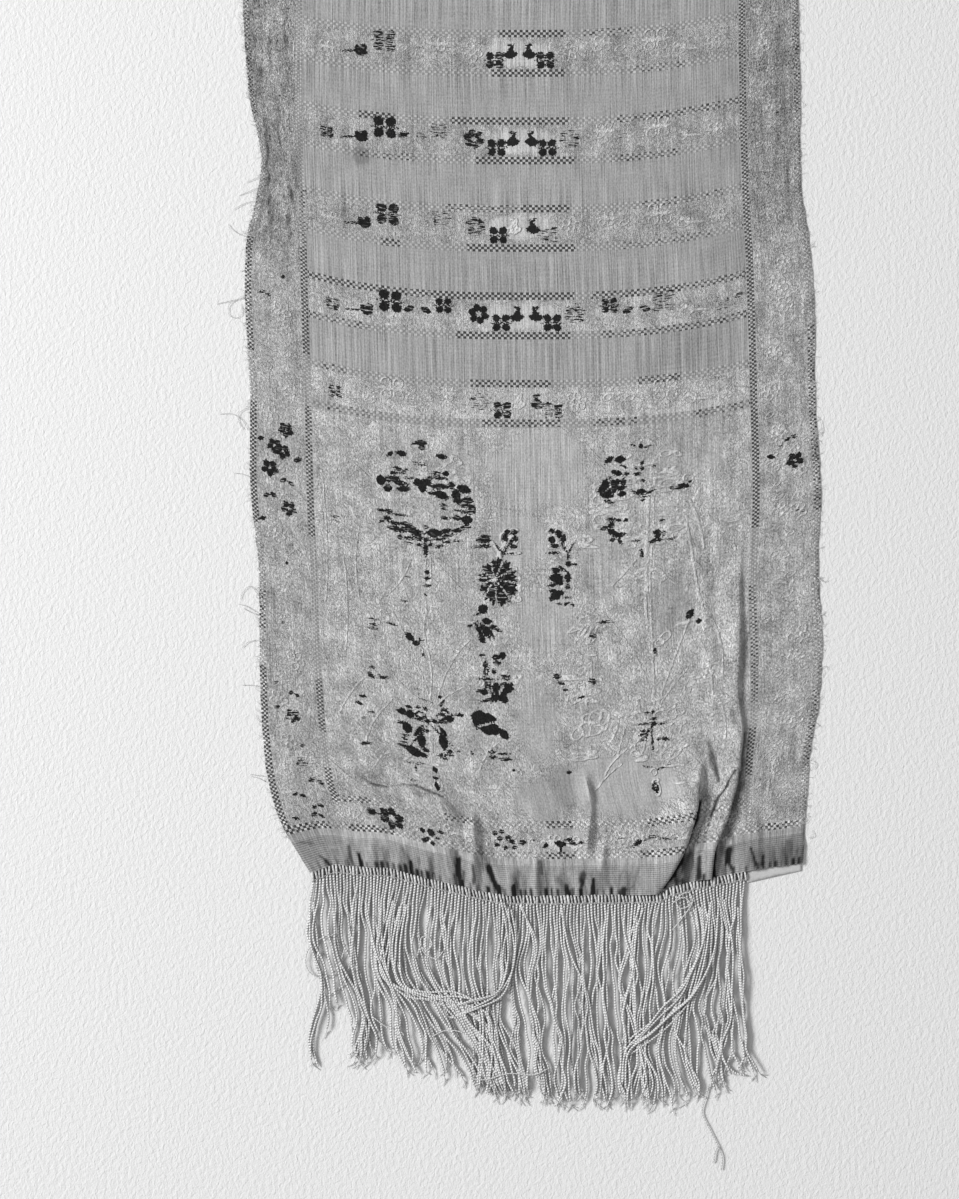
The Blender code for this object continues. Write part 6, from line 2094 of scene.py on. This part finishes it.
@dataclass
class NearFringe:
    """The near fringe: its whipped heading, cords, bundles and loose threads."""

    cords: int = 128
    left: float = -139.6
    right: float = 137.9
    heading_depth: float = 5.6
    head_gap: float = 4.0
    path_step: float = 6.0
    fall: float = 200.0
    end_stray: Range = (-9.0, 5.0)
    layers: Range = (0.0, 1.9)
    rest_height: float = 0.95
    wave: float = 0.35
    wave_key: float = 3.1
    wave_size: Range = (1.0, 26.0)
    shades: Range = (0.84, 1.14)
    radii: Range = (0.7, 0.88)
    bundle_radius: float = 0.7
    bundle_turns: float = 5.0
    bundle_waver: float = 0.45
    bundle_stray: float = 2.2
    bundle_heights: Range = (-0.5, 0.8)
    bundle_start: float = 1.9
    bundle_sag: float = 0.8
    bundle_shades: Range = (0.9, 1.12)
    frays: int = 3
    fray_reach: Range = (2.5, 7.5)
    fray_swing: float = 0.8
    fray_heights: Range = (0.8, 0.4)
    fray_radius: float = 0.28
    loop_lean: float = 0.7
    loop_lean_stray: float = 0.9
    loop_depths: Range = (4.6, 5.8)
    loop_shades: Range = (0.62, 1.0)
    loop_radii: Range = (0.6, 0.88)
    seed: int = 5
    random: np.random.Generator = field(init=False)
    hem: Array = field(init=False)

    def build(self, drape: Drape, frame: Frame, material: Any) -> list[Any]:
        """Build the fringe's pieces."""
        self.random = np.random.default_rng(self.seed)
        self.hem = drape.hem_line()
        roots = np.linspace(self.left + 1, self.right - 1, self.cords)
        cords = [self._cord(root, drape) for root in roots]
        half = len(cords) // 2
        overlays = self._overlays() + self._frayed(cords)
        pieces = [
            cord_object("near_fringe_left", cords[:half], frame, material),
            cord_object("near_fringe_right", cords[half:], frame, material),
            cord_object("near_fringe_tangles", overlays, frame, material),
            cord_object("near_heading_loops", self._loops(roots), frame, material),
            self._strip(frame, material),
        ]
        for piece in pieces:
            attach(piece, "root")
            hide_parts("near_fringe")
        return pieces

    def edge(self, x: float) -> float:
        """Return where the hem's edge lies above one place of the heading."""
        return outermost(self.hem, x, -1) - SEAM_GAP

    def _cord(self, root: float, drape: Drape) -> Cord:
        """Return one hanging cord."""
        flow = np.array(NEAR_FLOW)
        photo_root = root / MM_PER_PIXEL + PHOTO_ZERO_X
        reads = [np.interp(photo_root, flow[:, 0], flow[:, column]) for column in range(1, 7)]
        end = reads[-1] + self.random.uniform(*self.end_stray)
        photo_x = np.array([photo_root, *reads[:-1]])
        top = self.edge(root) - self.heading_depth
        photo_y = np.array([PHOTO_ZERO_Y - top / MM_PER_PIXEL, *FLOW_HEIGHTS])
        heights = np.arange(photo_y[0] + self.head_gap, end, self.path_step)
        x = curve(np.column_stack([photo_y, photo_x]), 1, heights)
        fallen = (heights - photo_y[0]) / self.fall
        for sway in CORD_SWAYS:
            noise = drape.fine_grain if sway.fine else drape.grain
            key = np.full_like(heights, photo_root * sway.key)
            bend = noise.at(key, heights, sway.cell_root, sway.cell_down)
            x = x + bend * (sway.least + sway.growth * fallen) * smooth(fallen * sway.onset)
        layer = self.random.uniform(*self.layers)
        key = np.full_like(heights, photo_root * self.wave_key)
        wave = drape.grain.at(key, heights, *self.wave_size)
        z = self.rest_height + layer * smooth(fallen * 4) + self.wave * (wave + 1)
        start = np.array([[root, top + 1.6, 1.3], [root, top - 0.6, 1.5]])
        path = np.vstack([start, photo_path(x, heights, z)])
        shade = self.random.uniform(*self.shades)
        return Cord(path, self.random.uniform(*self.radii), shade)

    def _overlays(self) -> list[Cord]:
        """Return the bundles and threads that lie over the cords."""
        made = []
        for count, spread, height, path in OVERLAYS:
            for index in range(count):
                photo = np.array(path, float)
                turns = np.linspace(0, self.bundle_turns, len(photo))
                phase = self.random.uniform(0, math.tau) + turns
                shift = (index / max(count - 1, 1) - 0.5) * spread
                shift = shift + self.bundle_waver * spread * np.cos(phase)
                photo += self.random.uniform(-self.bundle_stray, self.bundle_stray, photo.shape)
                photo += shift[:, None]
                sag = self.bundle_sag * np.linspace(0, 1, len(photo)) ** 2
                z = height + self.random.uniform(*self.bundle_heights) - sag
                z[0] = self.bundle_start
                z = np.maximum(z, OVERLAY_LOWEST)
                shade = self.random.uniform(*self.bundle_shades)
                made.append(Cord(photo_path(*photo.T, z), self.bundle_radius, shade, step=1.8))
        for height, path in THIN_OVERLAYS:
            line = photo_path(*np.array(path, float).T, np.full(len(path), height))
            made.append(Cord(line, 0.4, 1.0, 0.5, step=1.1, sides=5))
        return made

    def _frayed(self, cords: Sequence[Cord]) -> list[Cord]:
        """Return the loosened yarns at the cords' ends."""
        made = []
        for cord in cords:
            end, before = cord.path[-1], cord.path[-2]
            ahead = (end - before) / np.linalg.norm(end - before)
            for _ in range(self.frays):
                reach = self.random.uniform(*self.fray_reach)
                swing = self.random.uniform(-self.fray_swing, self.fray_swing)
                aside = np.array([-ahead[1], ahead[0], 0.0]) * swing
                tip = end + (ahead + aside) * reach
                middle = end + (ahead + aside * 0.25) * reach * 0.5
                path = np.array([before, end, middle, tip])
                path[2:, 2] = self.fray_heights
                made.append(Cord(path, self.fray_radius, 0.95, 1.0, step=1.5, sides=4))
        return made

    def _loops(self, roots: Array) -> list[Cord]:
        """Return the whipping stitches over the heading."""
        made = []
        for root in np.linspace(roots[0] - 0.6, roots[-1] + 0.6, len(roots)):
            top = self.edge(root)
            stray = self.random.uniform(-self.loop_lean_stray, self.loop_lean_stray)
            lean = self.loop_lean + stray
            low = -self.random.uniform(*self.loop_depths)
            rows = ((0.5, 1.0), (0.1, 2.1), (0.3 * low, 2.5), (0.7 * low, 2.3), (0.9 * low, 1.8), (low, 1.1))
            path = np.array([(root + lean * y / -5, top + y, z) for y, z in rows])
            shade = self.random.uniform(*self.loop_shades)
            made.append(Cord(path, self.random.uniform(*self.loop_radii), shade, 0.6, step=0.9))
        x = np.linspace(self.left + 0.5, self.right - 0.5, 150)
        y = np.array([self.edge(place) for place in x]) - 4.4
        made.append(Cord(np.column_stack([x, y, np.full_like(x, 2.1)]), 0.36, 0.6, 0.5, step=1.2))
        return made

    def _strip(self, frame: Frame, material: Any) -> Any:
        """Return the narrow strip that the cords are sewn to."""
        x = np.linspace(self.left, self.right, 180)
        top = np.array([self.edge(place) for place in x])
        points = np.array([[(px, py + y, z) for y, z in HEADING_PROFILE] for px, py in zip(x, top)])
        count = len(HEADING_PROFILE)
        ring = np.arange(len(x) - 1)[:, None] * count
        corner = np.arange(count)[None]
        beside = (corner + 1) % count
        faces = np.stack([ring + beside, ring + corner, ring + count + corner, ring + count + beside], -1)
        rows = faces.reshape(-1, 4).tolist()
        last = (len(x) - 1) * count
        rows.append(list(range(count)))
        rows.append(list(range(last + count - 1, last - 1, -1)))
        piece = make_object("near_heading_strip", frame.place(points.reshape(-1, 3)), rows, material)
        lay_uv(piece, points.reshape(-1, 3)[:, :2])
        # The strip is painted dark, as the shade in the gaps between the whipping stitches
        paint(piece, "cord", np.tile((1.0, 0.35, 0.0), (points.size // 3, 1)))
        return piece


@dataclass
class FarFringe:
    """The fringe on the far end, plainer and undisturbed."""

    cords: int = 96
    length: float = 131.0
    heading_depth: float = 5.6
    margin: float = 2.0
    head_gap: float = 4.0
    path_step: float = 7.0
    end_stray: float = 9.0
    spread: float = 5.0
    clump: float = 3.0
    clump_size: Range = (4.6, 30.0)
    bend: float = 1.4
    bend_size: Range = (1.0, 24.0)
    shades: Range = (0.86, 1.14)
    seed: int = 8

    def build(self, drape: Drape, frame: Frame, material: Any) -> Any:
        """Build the fringe."""
        random = np.random.default_rng(self.seed)
        hem = drape.hem_line(CLOTH_LENGTH)
        roots = np.linspace(hem[:, 0].min() + self.margin, hem[:, 0].max() - self.margin, self.cords)
        cords = []
        for root in roots:
            edge = outermost(hem, root, 1) + SEAM_GAP
            length = self.length - random.uniform(0, self.end_stray)
            down = np.arange(self.head_gap, length, self.path_step)
            part = down / self.length
            clump = drape.grain.at(np.full_like(down, root), down + 900, *self.clump_size)
            own = drape.fine_grain.at(np.full_like(down, root * 5.1), down, *self.bend_size)
            x = root + root / HALF_WIDTH * self.spread * part**1.4
            x = x + clump * self.clump * part + own * self.bend * part
            z = 1.0 + random.uniform(0, 1.2) * smooth(part * 5)
            head = [(root, edge - 0.2, 0.9), (root, edge + 1.2, 1.9), (root, edge + 4.4, 1.8)]
            tail = np.column_stack([x, edge + self.heading_depth + down, z])
            shade = random.uniform(*self.shades)
            cords.append(Cord(np.vstack([head, tail]), 0.8, shade, step=3.4))
        piece = cord_object("far_fringe_cords", cords, frame, material)
        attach(piece, "root")
        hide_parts("far_fringe")
        return piece


@dataclass
class LooseThreads:
    """Threads and fuzz that stand out from the cloth's worn edges."""

    hairs: int = 420
    thread_radius: float = 0.19
    hair_radius: float = 0.12
    left_share: float = 0.62
    stretch: Range = (20.0, 600.0)
    reach: Range = (1.2, 5.0)
    bend: float = 3.5
    tuck: float = 0.8
    seed: int = 21

    def build(self, drape: Drape, frame: Frame, material: Any) -> Any:
        """Build the threads."""
        random = np.random.default_rng(self.seed)
        cords = []
        for path in EDGE_THREADS:
            line = photo_path(*np.array(path, float).T, np.linspace(1.0, 0.45, len(path)))
            cords.append(Cord(line, self.thread_radius, 0.85, 1.0, step=1.4, sides=4))
        for _ in range(self.hairs):
            side = -1 if random.uniform() < self.left_share else 1
            along = random.uniform(*self.stretch)
            start = drape.middle(np.array([side * HALF_WIDTH]), np.array([along]))[0]
            reach = random.uniform(*self.reach) * side
            bend = random.uniform(-self.bend, self.bend)
            steps = np.linspace(0, 1, 4)
            x = start[0] - side * self.tuck + reach * steps
            y = start[1] + bend * steps**1.6
            z = 0.8 - 0.5 * steps
            path = np.column_stack([x, y, z])
            cords.append(Cord(path, self.hair_radius, 0.85, 1.0, step=1.5, sides=3))
        piece = cord_object("loose_threads", cords, frame, material)
        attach(piece, "root")
        return piece


@dataclass
class CornerTape:
    """The pale tape that shows below the hem at its right corner."""

    columns: int = 60
    rows: int = 16
    under_every: int = 5
    inset: float = 1.0

    def build(self, drape: Drape, frame: Frame, material: Any) -> Any:
        """Build the tape as a thin closed strip on its solid's form."""
        hem = drape.hem_line()
        right = float(hem[:, 0].max()) - self.inset
        x = np.linspace(TAPE_LEFT, right, self.columns)
        edge = np.array([outermost(hem, place, -1) for place in x])
        part = np.linspace(0, 1, self.columns)
        showing = TAPE_SHOWING_LEFT + (TAPE_SHOWING_RIGHT - TAPE_SHOWING_LEFT) * part
        fray = 0.25 * drape.fine_grain.at(x, x * 0, 1.3, 1.0)
        low, high = edge - showing + fray, edge + TAPE_TUCK
        share = np.linspace(0, 1, self.rows)[:, None]
        y = low[None] * (1 - share) + high[None] * share
        grid_x = np.broadcast_to(x[None], y.shape)
        rim = smooth(np.minimum(np.minimum(share, 1 - share) * 14, np.minimum(part, 1 - part)[None] * 40))
        top = TAPE_WALL * (0.45 + 0.55 * rim) + 0.08 * drape.grain.at(grid_x, y, 3.0, 2.5)
        upper = np.stack([grid_x, y, top], axis=-1)
        under = np.stack([grid_x, y, np.zeros_like(y)], axis=-1)
        rows, columns = list(range(0, self.rows, self.under_every)), [0, self.columns - 1]
        points, faces, order = ClothPiece.wall(upper, under, rows, columns)
        piece = make_object("corner_tape_strip", frame.place(points), faces, material)
        piece.data.set_sharp_from_angle(angle=SHARP_ANGLE)
        lay_uv(piece, order(np.stack([grid_x, y], axis=-1)))
        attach(piece, "root")
        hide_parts("corner_tape")
        return piece


@dataclass
class Studio:
    """The paper floor, the soft light from the left and the camera overhead."""

    floor_size: float = 14.0
    camera_height: float = 3.0
    sensor: float = 36.0
    sun_aim: Range = (54.0, -16.0)
    sun_energy: float = 1.9
    sun_soft: float = 16.0
    window_power: float = 17.5
    window_size: float = 0.9
    window_place: tuple[float, float, float] = (-1.6, -0.7, 1.3)
    fill: float = 0.36
    floor_drop: float = 0.0003

    def build(self, frame: Frame) -> None:
        """Build the stage, lights and camera."""
        half = self.floor_size / 2
        corners = np.array([(-half, -half, 0), (half, -half, 0), (half, half, 0), (-half, half, 0)])
        floor = make_object("floor", corners - (0, 0, self.floor_drop), [[0, 1, 2, 3]], Paper().build())
        self._sun("key_light")
        self._window()
        world = bpy.data.worlds.new("studio")
        world.use_nodes = True
        world.node_tree.nodes["Background"].inputs["Strength"].default_value = self.fill
        world.node_tree.nodes["Background"].inputs["Color"].default_value = (1, 1, 1, 1)
        bpy.context.scene.world = world
        bpy.context.scene.view_settings.view_transform = "Standard"
        self._camera(frame)

    def _sun(self, name: str) -> None:
        """Add the soft distant light, aimed by its lean from overhead and its bearing."""
        light = bpy.data.lights.new(name, "SUN")
        light.energy = self.sun_energy
        light.angle = math.radians(self.sun_soft)
        lamp = bpy.data.objects.new(name, light)
        lean, bearing = np.radians(self.sun_aim)
        lamp.rotation_euler = (0.0, -lean, bearing)
        bpy.context.scene.collection.objects.link(lamp)

    def _window(self) -> None:
        """Add the broad light at the left, which leaves the right a little darker."""
        light = bpy.data.lights.new("window_light", "AREA")
        light.energy = self.window_power
        light.size = self.window_size
        lamp = bpy.data.objects.new("window_light", light)
        lamp.location = self.window_place
        lamp.rotation_euler = (0.0, -math.atan2(-self.window_place[0], self.window_place[2]), 0.0)
        bpy.context.scene.collection.objects.link(lamp)

    def _camera(self, frame: Frame) -> None:
        """Add the camera, straight above the middle of the photograph."""
        middle = plan_place(PHOTO_WIDTH / 2, PHOTO_HEIGHT / 2)
        place = frame.place(np.array([middle[0], middle[1], 0.0]))
        camera = bpy.data.cameras.new("overhead")
        camera.sensor_width = self.sensor
        shown = PHOTO_HEIGHT * MM_PER_PIXEL * MM
        camera.lens = self.sensor * self.camera_height / shown
        camera.clip_end = 50.0
        holder = bpy.data.objects.new("overhead", camera)
        holder.location = (place[0], place[1], self.camera_height)
        bpy.context.scene.collection.objects.link(holder)
        bpy.context.scene.camera = holder


def main() -> None:
    """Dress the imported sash."""
    logging.basicConfig(level=logging.INFO, format="%(name)s %(message)s")
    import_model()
    drape = Drape()
    frame = Frame.from_solids(drape)
    LOG.info("plan offset %s", frame.offset.tolist())
    Studio().build(frame)
    Cloth().build(drape, frame)
    twisted = TwistedSilk().build()
    NearFringe().build(drape, frame, twisted)
    FarFringe().build(drape, frame, twisted)
    LooseThreads().build(drape, frame, twisted)
    CornerTape().build(drape, frame, TapeCotton().build())
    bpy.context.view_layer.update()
    meshes = [item.data for item in bpy.context.scene.objects if item.type == "MESH"]
    LOG.info("%d triangles", sum(len(face.vertices) - 2 for mesh in meshes for face in mesh.polygons))


if __name__ == "__main__":
    main()
